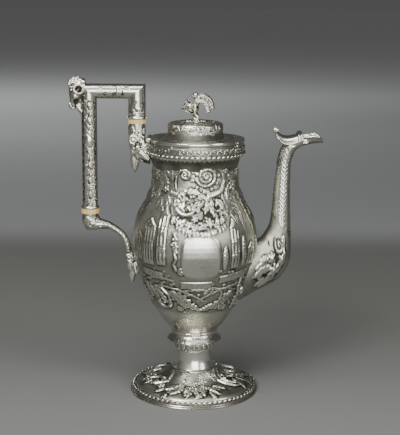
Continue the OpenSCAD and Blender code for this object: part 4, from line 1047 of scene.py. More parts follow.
# %% [markdown]
# ## Collar of leaves
#
# Each column of the collar's grid starts at its own height, which follows the rounded tips of sixteen
# leaves. The rest of the column is shared out evenly, so the ribs of a leaf run to its tip.

# %% Collar
COLLAR_LEAVES, COLLAR_COLUMNS = 16, 512
collar_curve, collar_length = even_rows(bezier([(28.3, 55), (25.3, 58.4), (23.4, 58.4), (22.4, 62.4)]), 0.3)
collar_share = np.linspace(0, 1, len(collar_curve))
leaf_turn = np.arange(COLLAR_COLUMNS) * COLLAR_LEAVES / COLLAR_COLUMNS % 1 - 0.5
tip_short = 0.09 * (2 * abs(leaf_turn)) ** 2.2
share = tip_short[None, :] + (1 - tip_short[None, :]) * collar_share[:, None]
collar_r = np.interp(share, collar_share, collar_curve[:, 0])
collar_z = np.interp(share, collar_share, collar_curve[:, 1])
collar_turn = full_turn(COLLAR_COLUMNS)
collar_points = np.stack([collar_r * np.sin(collar_turn), -collar_r * np.cos(collar_turn), collar_z], -1)
collar_work = Chasing(COLLAR_COLUMNS, collar_curve[:, 0], collar_length)
crown = 0.16 * np.sqrt(np.clip(1 - (2 * leaf_turn) ** 2, 0, 1)) - 0.07 * np.exp(-(leaf_turn / 0.07) ** 2)
ribs = 0.035 * np.cos(2 * math.pi * (abs(leaf_turn)[None, :] * 5 + 1.2 * collar_share[:, None]))
collar_work.height += (crown[None, :] + ribs) * np.clip(1.4 - collar_share, 0, 1)[:, None]
chased_piece("collar_leaves", collar_points, collar_work, CAST, POT, ("leaf_collar",), 0.0,
             1.0, 0.03, inner_step=12)

# %% [markdown]
# ## Lid and neck band
#
# The lid's brim, drum and crown are one raised sheet with engraved leaves. The seam under the brim is
# covered by the neck band, which is engraved all round with a running chevron of leaves. It has a small
# thumb notch on the front, towards the handle, and the engraving stops at each side of it.

# %% Chase the lid
LID_COLUMNS = 480
LID_TOP, DRUM_R, DRUM_ROUND = 279.0, 26.9, 3.8
shoulder = [(DRUM_R - DRUM_ROUND * (1 - math.cos(a)), LID_TOP - DRUM_ROUND * (1 - math.sin(a)))
            for a in np.linspace(0, math.pi / 2, 9)]
lid_curve = joined([(46.4, 263.4), (28.3, 263.4)], [(28.3, 263.4), (27.3, 263.9), (DRUM_R, 265)],
                   [(DRUM_R, 265), (DRUM_R, LID_TOP - DRUM_ROUND)], shoulder, [shoulder[-1], (8.8, LID_TOP)])
lid_rows, lid_length = even_rows(lid_curve, 0.45)
lid_work = Chasing(LID_COLUMNS, lid_rows[:, 0], lid_length)
lid_work.mat(2.0, 15.5, 0.3)
lid_work.mat(19.0, 31.0, 1.2)
lid_work.mat(37.0, 50.0, 1.0)
BRIM_MIDDLE, DRUM_MIDDLE, CROWN_MIDDLE = 9.2, 26.0, 43.5
DRUM_FLUTES = 60
for i in range(14):
    turn = 360 * i / 14
    press_flower(lid_work, turn, BRIM_MIDDLE, 2.8, 5, 0.55)
    for way in (1, -1):
        press_leaf(lid_work, turn + 5 * way, BRIM_MIDDLE, 8.0, 1.7, 90 - 62 * way, 0.8 * way, 3, 0.5)
        press_leaf(lid_work, turn + 5 * way, BRIM_MIDDLE, 7.5, 1.5, 270 + 58 * way, -0.8 * way, 3, 0.45)
for i in range(8):
    turn = 45 * i + 12
    press_flower(lid_work, turn, DRUM_MIDDLE, 4.0, 6, 0.9)
    press_volute(lid_work, turn + 17, DRUM_MIDDLE + 1.2, 2.6, 1.2, 60, 1, 0.8, 0.8)
    press_volute(lid_work, turn - 15, DRUM_MIDDLE - 1.5, 2.2, 1.1, 240, -1, 0.7, 0.8)
    for aim in (25, 65, 115, 155, 205, 245, 295, 335):
        beside, above = 5 * math.cos(math.radians(aim)), 2 * math.sin(math.radians(aim))
        press_leaf(lid_work, turn + beside, DRUM_MIDDLE + above, 6.5, 1.5, aim, 0.7, 3, 0.8)
    for aim in (60, 90, 120):
        press_leaf(lid_work, turn + 0.2 * (aim - 90), CROWN_MIDDLE - 5, 9, 1.8, aim, 0.6, 3, 0.6)
    press_flower(lid_work, turn + 22, CROWN_MIDDLE - 1, 2.6, 5, 0.6)
for i in range(DRUM_FLUTES):
    turn = 360 * i / DRUM_FLUTES
    press_leaf(lid_work, turn, 19.2, 4.4, 1.25, 90, 0, 1, 0.55, 0.2)
for i in range(16):
    turn = 22.5 * i + 6
    press_leaf(lid_work, turn, 23.6, 7.5, 1.7, 12, 1.0, 3, 0.6, 0.2)
    press_leaf(lid_work, turn, 23.6, 7.0, 1.6, 150, -1.0, 3, 0.6, 0.2)
    press_flower(lid_work, turn, 23.4, 2.0, 5, 0.7)
chased_piece("lid_chasing", turned_points(lid_rows, LID_COLUMNS), lid_work, CHASED, LID,
             lift=0.3, marks=0.04)

# %% Engrave the neck band
NOTCH_TURN, NOTCH_HALF = -24.0, 5.6
RING_R, RING_LOW, RING_HIGH, RING_COLUMNS, CHEVRONS = 49.2, 250.9, 258.0, 900, 40
ring_rows, ring_length = even_rows([(RING_R, RING_LOW), (RING_R, RING_HIGH)], 0.32)
ring_work = Chasing(RING_COLUMNS, ring_rows[:, 0], ring_length)
ring_work.mat(-3, 11, 1.3)
for i in range(CHEVRONS):
    turn = 360 * i / CHEVRONS
    away = (turn - NOTCH_TURN + 180) % 360 - 180
    if abs(away) < NOTCH_HALF:
        continue
    engrave(ring_work, turn, 3.6, [(-3.8, -2.6), (0, 2.6), (3.8, -2.6)], 0.6, 0.28, 0.95)
    press_leaf(ring_work, turn, 0.9, 4.6, 1.1, 90, 0, 2, 0.35)
    press_leaf(ring_work, turn + 4.5, 6.6, 4.6, 1.1, 270, 0, 2, 0.35)
    press_leaf(ring_work, turn + 1.5, 3.8, 3.4, 0.8, 20, 0.3, 2, 0.3)
for edge_at in (0.5, 6.7):
    ring_work.height -= 0.2 * np.exp(-((ring_length - edge_at) / 0.22) ** 2)[:, None]
chased_piece("neck_band_engraving", turned_points(ring_rows, RING_COLUMNS), ring_work, ENGRAVED,
             POT, lift=0.22, marks=0.0)

# %% [markdown]
# ## Swept tubes
#
# The spout, the handle and its sockets are tubes whose section changes along a path. Each section is
# written as a station: the two ends of its width, seen from the side, and half its depth. A smooth
# curve through the stations gives as many sections as the chasing needs, at an even distance.


# %% Helpers for swept tubes
def middle_line(sections):
    """The points half way between the two ends of each section."""
    return np.stack([sections[:, 0] + sections[:, 2], sections[:, 1] + sections[:, 3]], -1) / 2


def smooth_stations(stations, origin, step):
    """Sections at an even step along a curve through the stations, and their lengths."""
    knots = np.array([[x0 + origin[0], z0 + origin[1], x1 + origin[0], z1 + origin[1], depth]
                      for x0, z0, x1, z1, depth in stations], float)
    fine = spline(knots, 30)
    far = np.insert(np.cumsum(np.hypot(*np.diff(middle_line(fine), axis=0).T)), 0, 0)
    lengths = np.linspace(0, far[-1], int(round(far[-1] / step)) + 1)
    return picked(fine, far, lengths), lengths


def swept_points(sections, columns):
    """Rings about the sections. Column 0 faces the viewer; a quarter turn on is the second end."""
    turn = full_turn(columns)
    mid_x, mid_z = (sections[:, 0] + sections[:, 2]) / 2, (sections[:, 1] + sections[:, 3]) / 2
    half_x, half_z = (sections[:, 2] - sections[:, 0]) / 2, (sections[:, 3] - sections[:, 1]) / 2
    return np.stack([mid_x[:, None] + half_x[:, None] * np.sin(turn),
                     -sections[:, 4][:, None] * np.cos(turn),
                     mid_z[:, None] + half_z[:, None] * np.sin(turn)], -1)


def sweep(stations, origin, step, columns):
    """The rings of a swept tube and a blank field of chasing that fits them."""
    sections, lengths = smooth_stations(stations, origin, step)
    points = swept_points(sections, columns)
    around = np.linalg.norm(np.roll(points, -1, 1) - points, axis=2).sum(axis=1)
    return points, Chasing(columns, around / (2 * math.pi), lengths)


def place(points, work, x, z, side):
    """Where a point of the side view lies on a swept wall: its turn in degrees and its length."""
    on_other_side = points[..., 1] * side > 0
    far = np.hypot(points[..., 0] - x, points[..., 2] - z) + 1000 * on_other_side
    row, column = np.unravel_index(np.argmin(far), far.shape)
    return math.degrees(work.turn[column]), work.length[row]


# %% [markdown]
# ## Spout
#
# The spout is soldered up from two chased halves. Flowers and veined leaves swell from its root, an
# acanthus leaf curls over them, and a band of small paired leaves between two rows of punched dots
# climbs the riser to the bend.

# %% Shape of the spout
BELLY_AT, RIM_AT = (63.4, 154.0), (63.4, 259.6)
ROOT = [(-7.4, 3.5, -23.4, -62, 25), (-2.9, 4.6, -11.1, -54.7, 22.5), (1.2, 6.3, 0.1, -48.2, 19.5),
        (5.2, 9.4, 12.4, -41.7, 17.5), (8.2, 14.2, 23.6, -33.6, 16), (11.2, 19.4, 32.6, -21, 14.5),
        (12.9, 25.7, 34.9, -7, 12.5), (13.9, 32.9, 34.6, 9, 11), (14.5, 40, 34, 28, 9.9),
        (15.2, 50.5, 33.1, 48, 9), (16.7, 70, 32.8, 69, 8)]
BEND = [(17.9, -22.6, 32.9, -23.6, 7.5), (19.4, -14.6, 34, -17.1, 7.4), (21.2, -8.6, 35.8, -11.1, 7.5),
        (23.6, -3.6, 38.6, -7.2, 7.7), (26.9, 0.8, 41.2, -5.3, 8), (31.2, 4.2, 43.2, -4.3, 8.2),
        (36.1, 6.6, 44.6, -3.6, 8.3), (40.4, 8, 45.6, -3.2, 8.4)]
RISE = RIM_AT[1] - BELLY_AT[1]
spout_stations = ROOT + [(x0, z0 + RISE, x1, z1 + RISE, depth) for x0, z0, x1, z1, depth in BEND]
spout_points, spout_work = sweep(spout_stations, BELLY_AT, 0.6, 196)


def on_spout(x, z, side):
    """The turn and the length of a point of the side view, on the spout."""
    return place(spout_points, spout_work, x, z, side)


_, corner_length = on_spout(90, 172, 1)
_, bend_length = on_spout(90, 246, 1)
print("spout:", round(float(spout_work.length[-1])), "mm along its middle")

# %% Chase the spout
spout_work.mat(-5, corner_length + 6, 1.3)
LEAF_PITCH, DOT_PITCH, BAND_EDGE = 4.4, 2.8, 47
for side, middle in ((1, 0), (-1, 180)):
    draw = np.random.default_rng(17)
    for _ in range(14):
        spot = on_spout(draw.uniform(64, 88), draw.uniform(114, 140), side)
        press_leaf(spout_work, *spot, draw.uniform(6, 9), draw.uniform(1.8, 2.6), draw.uniform(20, 160),
                   0.5, 2, draw.uniform(0.6, 1.0), 0.4)
    for x, z, size, width, aim in (
            (62, 134, 15, 4.0, 75), (60, 125, 19, 4.2, 92), (60, 115, 19, 3.6, 74),
            (64, 112, 14, 3.2, 112), (70, 132, 12, 3.2, 60), (72, 120, 13, 3.2, 112),
            (84, 128, 10, 2.6, 120), (90, 152, 12, 3.4, 95), (84, 150, 12, 3.0, 66)):
        press_leaf(spout_work, *on_spout(x, z, side), size, width, mirrored(aim, side), 1.2 * side, 4, 1.3,
                   0.2)
    for x, z, size, petals in (
            (90, 148, 4.6, 5), (70, 142, 4.4, 5), (88, 142, 5.4, 5), (78, 143, 5.2, 6),
            (80.5, 131, 7.0, 6)):
        press_flower(spout_work, *on_spout(x, z, side), size, petals, 2.6, 0.4, 0.3)
    press_volute(spout_work, *on_spout(85, 156, side), 6.2, 1.2, 200 if side > 0 else 340, side, 1.9, 2.2)
    # Painted shade under the curled leaf: a dark oval added to the stain
    where, x, y = spout_work.spot(*on_spout(74.5, 158.5, side), 5)
    spout_work.stain[where] = np.maximum(spout_work.stain[where], 1.2 - np.hypot(x / 3.2, y / 1.8))
    for i in range(int((bend_length + 14 - corner_length) / LEAF_PITCH)):
        at = corner_length + i * LEAF_PITCH
        for aim in (58, 122):
            press_leaf(spout_work, middle, at, 8.0, 1.6, aim, 0.5, 3, 0.5, 0.3)
        punch_dot(spout_work, middle, at + 0.5 * LEAF_PITCH, 0.5)
    for i in range(int((bend_length + 16 - corner_length) / DOT_PITCH)):
        for edge in (-BAND_EDGE, BAND_EDGE):
            punch_dot(spout_work, middle + edge, corner_length + i * DOT_PITCH, 0.8, 0.3, 0.95)
for edge in (40, 54, 126, 140, 220, 234, 306, 320):
    run = [(0, corner_length), (0, bend_length + 17)]
    engrave(spout_work, edge, 0.0, run, 0.4, 0.2, 0.45)
spout_work.soften()
chased_piece("spout_chasing", spout_points, spout_work, CHASED, POT,
             ("spout_near_half", "spout_far_half"), 0.0, 0.9, 0.05, (False, False))

# %% [markdown]
# ## Handle
#
# The handle is three straight tubes with mitred corners, so that it looks bent at a sharp right angle.
# The top tube is cut at an angle at both ends, the grip and the short tube at their upper ends, and the
# cuts are soldered together. The faces are engraved with C-scrolls, small leaves and dots, and the grip
# has an oval medal near the middle of each side, left bare.

# %% Tubes of the handle
GRIP_LOW, GRIP_OUT, GRIP_IN, HANDLE_DEPTH = 193.4, -114.3, -98.5, 7.8
TOP_HIGH, TOP_LOW, SHORT_OUT, SHORT_IN, SHORT_LOW = 316.8, 302.0, -67.4, -49.8, 284.7
TUBE_COLUMNS, TUBE_STEP = 150, 0.4


def engraved_tube(name, first, last, node, draw_on):
    """One straight tube of the handle between two sections, engraved by a function."""
    sections, _ = even_rows([first, last], TUBE_STEP)
    middle = middle_line(sections)
    lengths = np.linspace(0, np.hypot(*(middle[-1] - middle[0])), len(sections))
    points = swept_points(sections, TUBE_COLUMNS)
    work = Chasing(TUBE_COLUMNS, [HANDLE_DEPTH] * len(lengths), lengths)
    for face in (0, 180):
        draw_on(work, face, lengths[-1])
    return chased_piece(name, points, work, ENGRAVED, POT, (node,), 0.0, 1.0, 0.05)


# %% Ornament of the handle
def c_scroll(work, face, at, size, way, turned):
    """An engraved C-scroll: a curve with a small volute at each end and a leaf on its back."""
    c, s = math.cos(math.radians(turned)), math.sin(math.radians(turned))

    def laid(path):
        return [(x * c - y * s, x * s + y * c) for x, y in path]

    bow = arc(0, -size, 0, size, 0.55 * size * way)
    engrave(work, face, at, laid(bow), 0.75, 0.14, 1.0)
    for end in (-1, 1):
        roll = [(x - 0.1 * size * way, y + end * size * 0.86) for x, y in
                volute(0.42 * size, 1.1, math.radians(90 * end + 90), end * way, 10)]
        engrave(work, face, at, laid(roll), 0.6, 0.12, 1.0)
    tip = laid([(-0.5 * size * way, 0)])[0]
    press_leaf(work, face + math.degrees(tip[0] / HANDLE_DEPTH), at + tip[1], 0.9 * size, 0.9,
               turned + (180 if way > 0 else 0), 0.4, 2, 0.18)


def grip_ornament(work, face, total):
    """Scrolls and dots up the grip, with a bare oval medal a little above its middle."""
    medal = 0.575 * total
    draw = np.random.default_rng(3)
    for i in range(15):
        at = 5 + i * 7.6
        if at > total - 9:
            break
        if abs(at - medal) > 10:
            way = 1 if i % 2 else -1
            c_scroll(work, face + 10 * way, at, 4.2, way, draw.uniform(-18, 18))
        for edge in (-52, 52):
            c_scroll(work, face + edge, at + 3.8, 3.0, 1 if edge > 0 else -1, draw.uniform(-12, 12))
    for _ in range(60):
        punch_dot(work, face + draw.uniform(-75, 75), draw.uniform(3, total - 6), 0.8, 0.2, 1.0)
    where, x, y = work.spot(face, medal, 10)
    oval = 1 - np.hypot(x / 4.1, y / 6.0)
    work.height[where] = np.where(oval > 0, 0.5 * np.sqrt(np.clip(oval, 0, 1)), work.height[where])
    work.stain[where] = np.where(oval > -0.1, 0, work.stain[where])
    ring = [(4.6 * math.cos(a), 6.6 * math.sin(a)) for a in np.linspace(0, 2 * math.pi, 25)]
    engrave(work, face, medal, ring, 0.5)


def top_ornament(work, face, total):
    """A long medallion scroll near the ram's head and a small scroll beside it."""
    for at, size, way in ((15, 4.6, 1), (25, 5.6, -1), (36, 4.6, 1), (45, 4.0, -1), (53, 3.4, 1)):
        if at < total - 6:
            c_scroll(work, face - 12, at, size, way, 90)
    for i in range(14):
        for edge in (-48, 48):
            press_leaf(work, face + edge, 8 + i * 3.4, 3.6, 0.9, 60 if edge < 0 else 300, 0.3, 2, 0.15)
    draw = np.random.default_rng(5)
    for _ in range(30):
        punch_dot(work, face + draw.uniform(-70, 70), draw.uniform(8, total - 8), 0.75, 0.2, 1.0)


def short_ornament(work, face, total):
    """One upright scroll with leaves above the ferrule."""
    c_scroll(work, face, 0.42 * total, 4.8, 1, 8)
    c_scroll(work, face + 40, 0.30 * total, 3.4, -1, -10)
    c_scroll(work, face - 40, 0.34 * total, 3.4, 1, 10)
    for edge in (-62, -20, 20, 62):
        press_leaf(work, face + edge, 2.0, 6.5, 1.2, 90, 0.3, 2, 0.2)


# %% Engrave the handle
engraved_tube("handle_grip_engraving", (GRIP_OUT, GRIP_LOW, GRIP_IN, GRIP_LOW, HANDLE_DEPTH),
              (GRIP_OUT, TOP_HIGH, GRIP_IN, TOP_LOW, HANDLE_DEPTH), "handle_grip", grip_ornament)
engraved_tube("handle_top_engraving", (GRIP_OUT, TOP_HIGH, GRIP_IN, TOP_LOW, HANDLE_DEPTH),
              (SHORT_IN, TOP_HIGH, SHORT_OUT, TOP_LOW, HANDLE_DEPTH), "handle_top_tube", top_ornament)
engraved_tube("handle_short_engraving", (SHORT_OUT, SHORT_LOW, SHORT_IN, SHORT_LOW, HANDLE_DEPTH),
              (SHORT_OUT, TOP_LOW, SHORT_IN, TOP_HIGH, HANDLE_DEPTH), "handle_short_tube", short_ornament)

# %% [markdown]
# ## Cast ornament
#
# The ram's head, the flower knob of the lid and the leaves on the sockets were modelled in wax and cast.
# Wax is built up from rolls, pellets and pressed leaves that melt into each other. The same way works
# here: tubes, balls and leaf blades overlap, a voxel remesh melts them into one skin, and a little
# smoothing takes away the steps. Oxide is then stored on every point that lies lower than the surface
# around it, found by comparing the skin with a smoothed copy of itself.

# Dark spots in named pits are added on top of the oxide: painted shade in recesses and gaps.

# %% Rolls and pellets of wax
def unit(vector):
    """The vector at length one."""
    vector = np.asarray(vector, float)
    return vector / (np.linalg.norm(vector, axis=-1, keepdims=True) + 1e-12)


def smooth_path(points, count):
    """A curve with an even number of points through given ones."""
    points = np.asarray(points, float)
    if len(points) > 2:
        points = spline(points, 16)
    far = distances(points)
    return picked(points, far, np.linspace(0, far[-1], count))


def roll(path, thick, rows=28, columns=18, flat=1.0, side=(0, 1, 0), ridges=0, ridge=0.0, twist=0.0):
    """A roll of wax along a path. thick is its radius at even shares of its length."""
    centre = smooth_path(path, rows)
    share = np.linspace(0, 1, rows)
    radius = np.interp(share, np.linspace(0, 1, len(thick)), thick)
    ahead = unit(np.gradient(centre, axis=0))
    across = unit(np.asarray(side, float) - (ahead * side).sum(1)[:, None] * ahead)
    up_way = np.cross(ahead, across)
    turn = full_turn(columns)
    swell = 1 + ridge * np.cos(ridges * turn[None, :] + twist * share[:, None])
    size = radius[:, None] * swell
    return (centre[:, None] + across[:, None] * (size * np.cos(turn))[..., None]
            + up_way[:, None] * (flat * size * np.sin(turn))[..., None])


def pellet(centre, radii, rows=12, columns=18):
    """A ball of wax, pressed to three radii."""
    tilt = np.linspace(0.06, math.pi - 0.06, rows)[:, None]
    turn = full_turn(columns)
    shape = np.stack([np.sin(tilt) * np.cos(turn), np.sin(tilt) * np.sin(turn),
                      np.cos(tilt) + 0 * turn], -1)
    return np.asarray(centre, float) + shape * np.asarray(radii, float)


# %% Leaves and turned forms in wax
def blade(root, aim, face, size, width, curl=0.0, lobes=4, thick=0.7, cup=0.25, rows=34, columns=26):
    """A pressed leaf: aim is where it grows, face the side it shows, curl bends its tip to the face."""
    aim = unit(aim)
    face = unit(np.asarray(face, float) - (aim * face).sum() * aim)
    across = np.cross(aim, face)
    t = np.linspace(0.01, 0.99, rows)[:, None]
    turn = full_turn(columns)
    edge = width * np.sin(math.pi * t ** 0.72) ** 0.75 * (1 + 0.20 * np.sin(2 * math.pi * lobes * t))
    side = edge * np.cos(turn)
    body = np.minimum(thick, 0.25 + edge) * np.sin(turn)
    shown = np.sin(turn) > 0
    rib = -0.45 * thick * np.exp(-(side / (0.12 * width + 0.2)) ** 2) * shown
    veins = 0.18 * thick * np.cos(2 * math.pi * (1.4 * lobes * t - 0.5 * abs(np.cos(turn)))) * shown
    rise = body + rib + veins + cup * side ** 2 / (width + 0.1)
    bent = curl * size * t ** 2
    return (np.asarray(root, float) + aim * (size * t)[..., None] + across * side[..., None]
            + face * (rise + bent)[..., None])


def lathe(base, axis, profile, columns=36, petals=0, depth=0.0, start=0.5):
    """A turned form about an axis. profile is [along, radius]; petals scallop it beyond start."""
    axis = unit(axis)
    helper = unit(np.cross(axis, (0.2, 1, 0.1)))
    other = np.cross(axis, helper)
    along, radius = np.array(profile, float).T
    turn = full_turn(columns)
    reach = np.clip((along / along.max() - start) / (1 - start), 0, 1)[:, None]
    scallop = 1 + depth * reach * np.cos(petals * turn)
    size = radius[:, None] * scallop
    rise = along[:, None] * (1 + 0.35 * depth * reach * np.cos(petals * turn))
    return (np.asarray(base, float) + axis * rise[..., None] + helper * (size * np.cos(turn))[..., None]
            + other * (size * np.sin(turn))[..., None])


def open_flower(centre, axis, radius, petals=6, thick=1.3):
    """A flower head: pressed petals, each a small pellet, about a domed button."""
    axis = unit(axis)
    helper = unit(np.cross(axis, (0.2, 1, 0.1) if abs(axis[1]) < 0.9 else (0, 0.1, 1)))
    other = np.cross(axis, helper)
    forms = []
    for i in range(petals):
        turn = 2 * math.pi * i / petals
        out = helper * math.cos(turn) + other * math.sin(turn)
        forms.append(blade(np.asarray(centre) + 0.10 * radius * out, out + 0.05 * axis, axis, 0.92 * radius,
                           0.52 * radius, 0.12, 1, thick, 0.30, 20, 18))
    forms.append(pellet(np.asarray(centre) + 0.55 * thick * axis, [0.30 * radius] * 3, 10, 14))
    return forms


# %% Melt and oxidise
def wax_mesh(name, forms):
    """One mesh from many closed forms, each a grid of points with its ends capped."""
    points, faces, start = [], [], 0
    for form in forms:
        rows, columns = form.shape[:2]
        flat = form.reshape(-1, 3)
        quads = grid_faces(rows, columns, False)
        caps = [list(range(columns))[::-1], [(rows - 1) * columns + i for i in range(columns)]]
        whole = quads.tolist() + caps
        if faces_inwards(flat - flat.mean(0), quads):
            whole = [face[::-1] for face in whole]
        faces += [[start + i for i in face] for face in whole]
        points.append(flat)
        start += len(flat)
    mesh = bpy.data.meshes.new(name)
    mesh.from_pydata((np.concatenate(points) * MM).tolist(), [], faces)
    return mesh


def read_points(mesh, label):
    """One vector of every point of a mesh: its place (co) or its normal."""
    values = np.empty(len(mesh.vertices) * 3)
    mesh.vertices.foreach_get(label, values)
    return values.reshape(-1, 3)


def read_edges(mesh):
    """The two ends of every edge of a mesh."""
    ends = np.empty(len(mesh.edges) * 2, int)
    mesh.edges.foreach_get("vertices", ends)
    return ends.reshape(-1, 2)


def evened(values, edges, times):
    """Values on points, averaged with their neighbours along the edges a number of times."""
    count = len(values)
    near = np.bincount(edges.ravel(), minlength=count).astype(float)
    for _ in range(times):
        total = np.stack([np.bincount(edges[:, 0], values[edges[:, 1], i], count)
                          + np.bincount(edges[:, 1], values[edges[:, 0], i], count)
                          for i in range(values.shape[1])], -1)
        values = 0.5 * values + 0.5 * total / near[:, None]
    return values


def oxidise(mesh, strength, shaded_pits):
    """Stores oxide where the skin lies lower than a smoothed copy of itself, and painted shade in named pits.
    """
    spots = read_points(mesh, "co")
    smoothed = evened(spots, read_edges(mesh), 14)
    lower = ((smoothed - spots) * read_points(mesh, "normal")).sum(1) / MM
    stain = strength * lower + 0.04
    for centre, reach in shaded_pits:
        far = np.linalg.norm(spots / MM - centre, axis=1) / reach
        stain = np.maximum(stain, 1.6 * np.clip(1.25 - far, 0, 0.6))
    layer = mesh.attributes.new("oxide_and_shade", "FLOAT", "POINT")
    layer.data.foreach_set("value", np.clip(stain, 0, 1).astype(np.float32))


def cast_piece(name, forms, gone, voxel, smooth=2, oxide=2.2, shaded_pits=(), body=POT):
    """Melts wax forms into one skin, voxel mm fine, and finishes it as a casting."""
    base = link_piece(name + "_wax", wax_mesh(name + "_wax", forms))
    melt = base.modifiers.new("melt", "REMESH")
    melt.mode = "VOXEL"
    melt.voxel_size = voxel * MM
    mesh = bpy.data.meshes.new_from_object(base.evaluated_get(bpy.context.evaluated_depsgraph_get()))
    bpy.data.objects.remove(base)
    mesh.name = name
    mesh.vertices.foreach_set("co", evened(read_points(mesh, "co"), read_edges(mesh), smooth).ravel())
    mesh.update()
    mesh.polygons.foreach_set("use_smooth", [True] * len(mesh.polygons))
    mesh.materials.clear()
    mesh.materials.append(CAST)
    oxidise(mesh, oxide, shaded_pits)
    return fit_out(link_piece(name, mesh), body, gone)


# %% [markdown]
# ## Beak, hood and strap
#
# The spout ends in an open beak: a trough with a rolled edge. A hood covers the bend behind it, and its
# tip curls back. A strap with a bead along each side holds the two together. Each of them is a bent
# sheet, so each section is an arc out and a smaller arc back, and the beads are rolls along the edges.

# %% Bend the sheets
TROUGH = [(42.1, 4.6, 45.9, -3.3, 8.4), (46.4, 6.1, 49.1, -2.4, 9.6), (50.8, 6.6, 52.6, -1.5, 11.3),
          (55.4, 7.2, 56.2, -0.9, 12.3), (59.2, 6.4, 59.5, -0.5, 11.6), (62.4, 4.2, 62.3, -0.3, 9.3),
          (64.0, 1.8, 63.9, -0.1, 5.2)]
HOOD = [(17.3, 10.4, 18.4, 12.6, 2.0), (17.9, 7.6, 19.9, 10.2, 5.0), (19.6, 4.6, 22.4, 8.2, 7.6),
        (23.1, 1.0, 25.9, 7.0, 9.0), (27.1, -0.8, 29.4, 6.8, 9.4), (32.1, -0.7, 33.4, 7.6, 9.6),
        (37.1, 1.0, 36.9, 8.9, 9.7), (41.0, 2.8, 39.8, 9.8, 9.7)]


def bent_sheet(stations, origin, step, wall):
    """The closed form of a bent sheet, and the run of its near edge."""
    sections, _ = smooth_stations(stations, origin, step)
    start, rise = sections[:, 0:2], sections[:, 2:4] - sections[:, 0:2]
    size = np.linalg.norm(rise, axis=1, keepdims=True)
    turn = np.linspace(0, math.pi, 36)
    loops = []
    for less, angles in ((0.0, turn), (wall, turn[::-1])):
        share = np.maximum(1 - less / size, 0.15)
        at = start[:, None] + (rise * share)[:, None] * np.sin(angles)[None, :, None]
        half = np.maximum(sections[:, 4:5] - less, 0.3) * np.cos(angles)
        loops.append(np.stack([at[..., 0], half, at[..., 1]], -1))
    edge = np.stack([start[:, 0], sections[:, 4], start[:, 1]], -1)
    return np.concatenate(loops, 1), edge


def both_sides(run):
    """A run of points and its mirror image on the other side of the pot."""
    return run, run * (1, -1, 1)


trough, lip = bent_sheet(TROUGH, RIM_AT, 0.8, 1.0)
hood, hood_edge = bent_sheet(HOOD, RIM_AT, 0.8, 1.1)
beak_forms = [trough, hood]
for run in both_sides(lip[::3] - (0.3, 0, 0)):
    beak_forms.append(roll(run, [1.15, 1.15, 1.15, 1.0], 90, 14))
for run in both_sides(hood_edge[::3]):
    beak_forms.append(roll(run, [0.9, 1.05, 1.05, 1.05], 80, 14))
print("sections of the trough and the hood:", len(lip), len(hood_edge))

# %% Roll the front lip, the curled tip and the strap
end = np.array(TROUGH[-1][:2]) + RIM_AT
front = [(end[0] - 0.7, 5.2 * math.cos(turn), end[1] - 1.6 * math.sin(turn))
         for turn in np.linspace(0, math.pi, 12)]
beak_forms.append(roll(front, [1.0, 0.9, 1.0], 40, 14, side=(1, 0, 0)))
tip = np.array([HOOD[0][0] + RIM_AT[0], 0, HOOD[0][1] + RIM_AT[1]])
curl = [tip + (1.9 - 1.5 * k / 12) * np.array([math.cos(0.5 * k), 0, math.sin(0.5 * k)])
        + (-0.6, 0, 0.8) for k in range(13)]
beak_forms.append(roll(curl, [1.3, 1.2, 1.0, 0.6], 40, 16, 1.6))
STRAP = [(40.4, 1.4, 39.2, 10.6, 10.6), (43.2, 2.6, 41.8, 11.0, 10.6)]
for x0, z0, x1, z1, depth in STRAP:
    turn = np.linspace(0, math.pi, 25)
    hoop = np.stack([RIM_AT[0] + x0 + (x1 - x0) * np.sin(turn), depth * np.cos(turn),
                     RIM_AT[1] + z0 + (z1 - z0) * np.sin(turn)], -1)
    beak_forms.append(roll(hoop, [1.0, 1.0], 90, 14, side=(1, 0, 0)))
strap_stations = [STRAP[0], tuple(0.5 * (a + b) for a, b in zip(*STRAP)), STRAP[1]]
beak_forms.append(bent_sheet(strap_stations, RIM_AT, 0.5, 1.0)[0])
for side in (-1, 1):
    for low, size in ((0.5, 6.0), (2.4, 5.0)):
        root = np.array([RIM_AT[0] + 43.5, 8.6 * side, RIM_AT[1] + low])
        beak_forms.append(blade(root, (1, 0.10 * side, 0.12), (0, side, 0.3), size, 1.5, 0.04, 2, 0.8, 0.2))
cast_piece("spout_beak_cast", beak_forms, ("spout_beak", "spout_hood", "spout_strap"), 0.34)

# %% [markdown]
# ## Sockets of the handle
#
# Two cast sockets hold the handle: one leans in to the neck under the upper ivory ring, the other is an
# elbow with a tapering arm that ends on the belly. Acanthus leaves and flowers cover both joints.

# %% Upper socket
SHORT_X, GRIP_X, LIP_Z, ELBOW_Z = -58.6, -106.4, 259.6, 186.1
UPPER = [(-8, 18, 7.8, 18, 7.9), (-8, 10, 7.8, 10, 7.9), (-8, 2.4, 7.8, 2.4, 7.9),
         (-7.6, -5.6, 8, -1, 7.6), (-4.8, -13.1, 8.8, -3.4, 7.2), (0.6, -18.6, 10, -5, 6.8),
         (7.6, -22, 12.1, -6, 6.6), (13, -23.4, 13.4, -7.1, 6.5)]
upper_points, upper_work = sweep(UPPER, (SHORT_X, LIP_Z), 0.45, 150)
upper_work.mat(7, upper_work.length[-1] + 5, 1.2)
for side in (1, -1):
    for x, z, size, width, aim in (
            (-63, 262, 13, 3.2, 270), (-57, 256, 14, 3.4, 290), (-55, 268, 13, 3.0, 262),
            (-50.5, 262, 14, 2.8, 280), (-62, 252, 13, 3.2, 285), (-54, 249, 13, 3.2, 275),
            (-64, 274, 12, 2.4, 268)):
        press_leaf(upper_work, *place(upper_points, upper_work, x, z, side), size, width,
                   mirrored(aim - 180, side), 1.0, 4, 1.3, 0.3)
    for x, z in ((-52, 270), (-57, 262)):
        press_flower(upper_work, *place(upper_points, upper_work, x, z, side), 3.6, 5, 1.5)
for edge in (30, 90, 150, 210, 270, 330):
    press_leaf(upper_work, edge, 12, 10, 2.2, 270, 0, 3, 0.9, 0.3)
upper_work.soften()
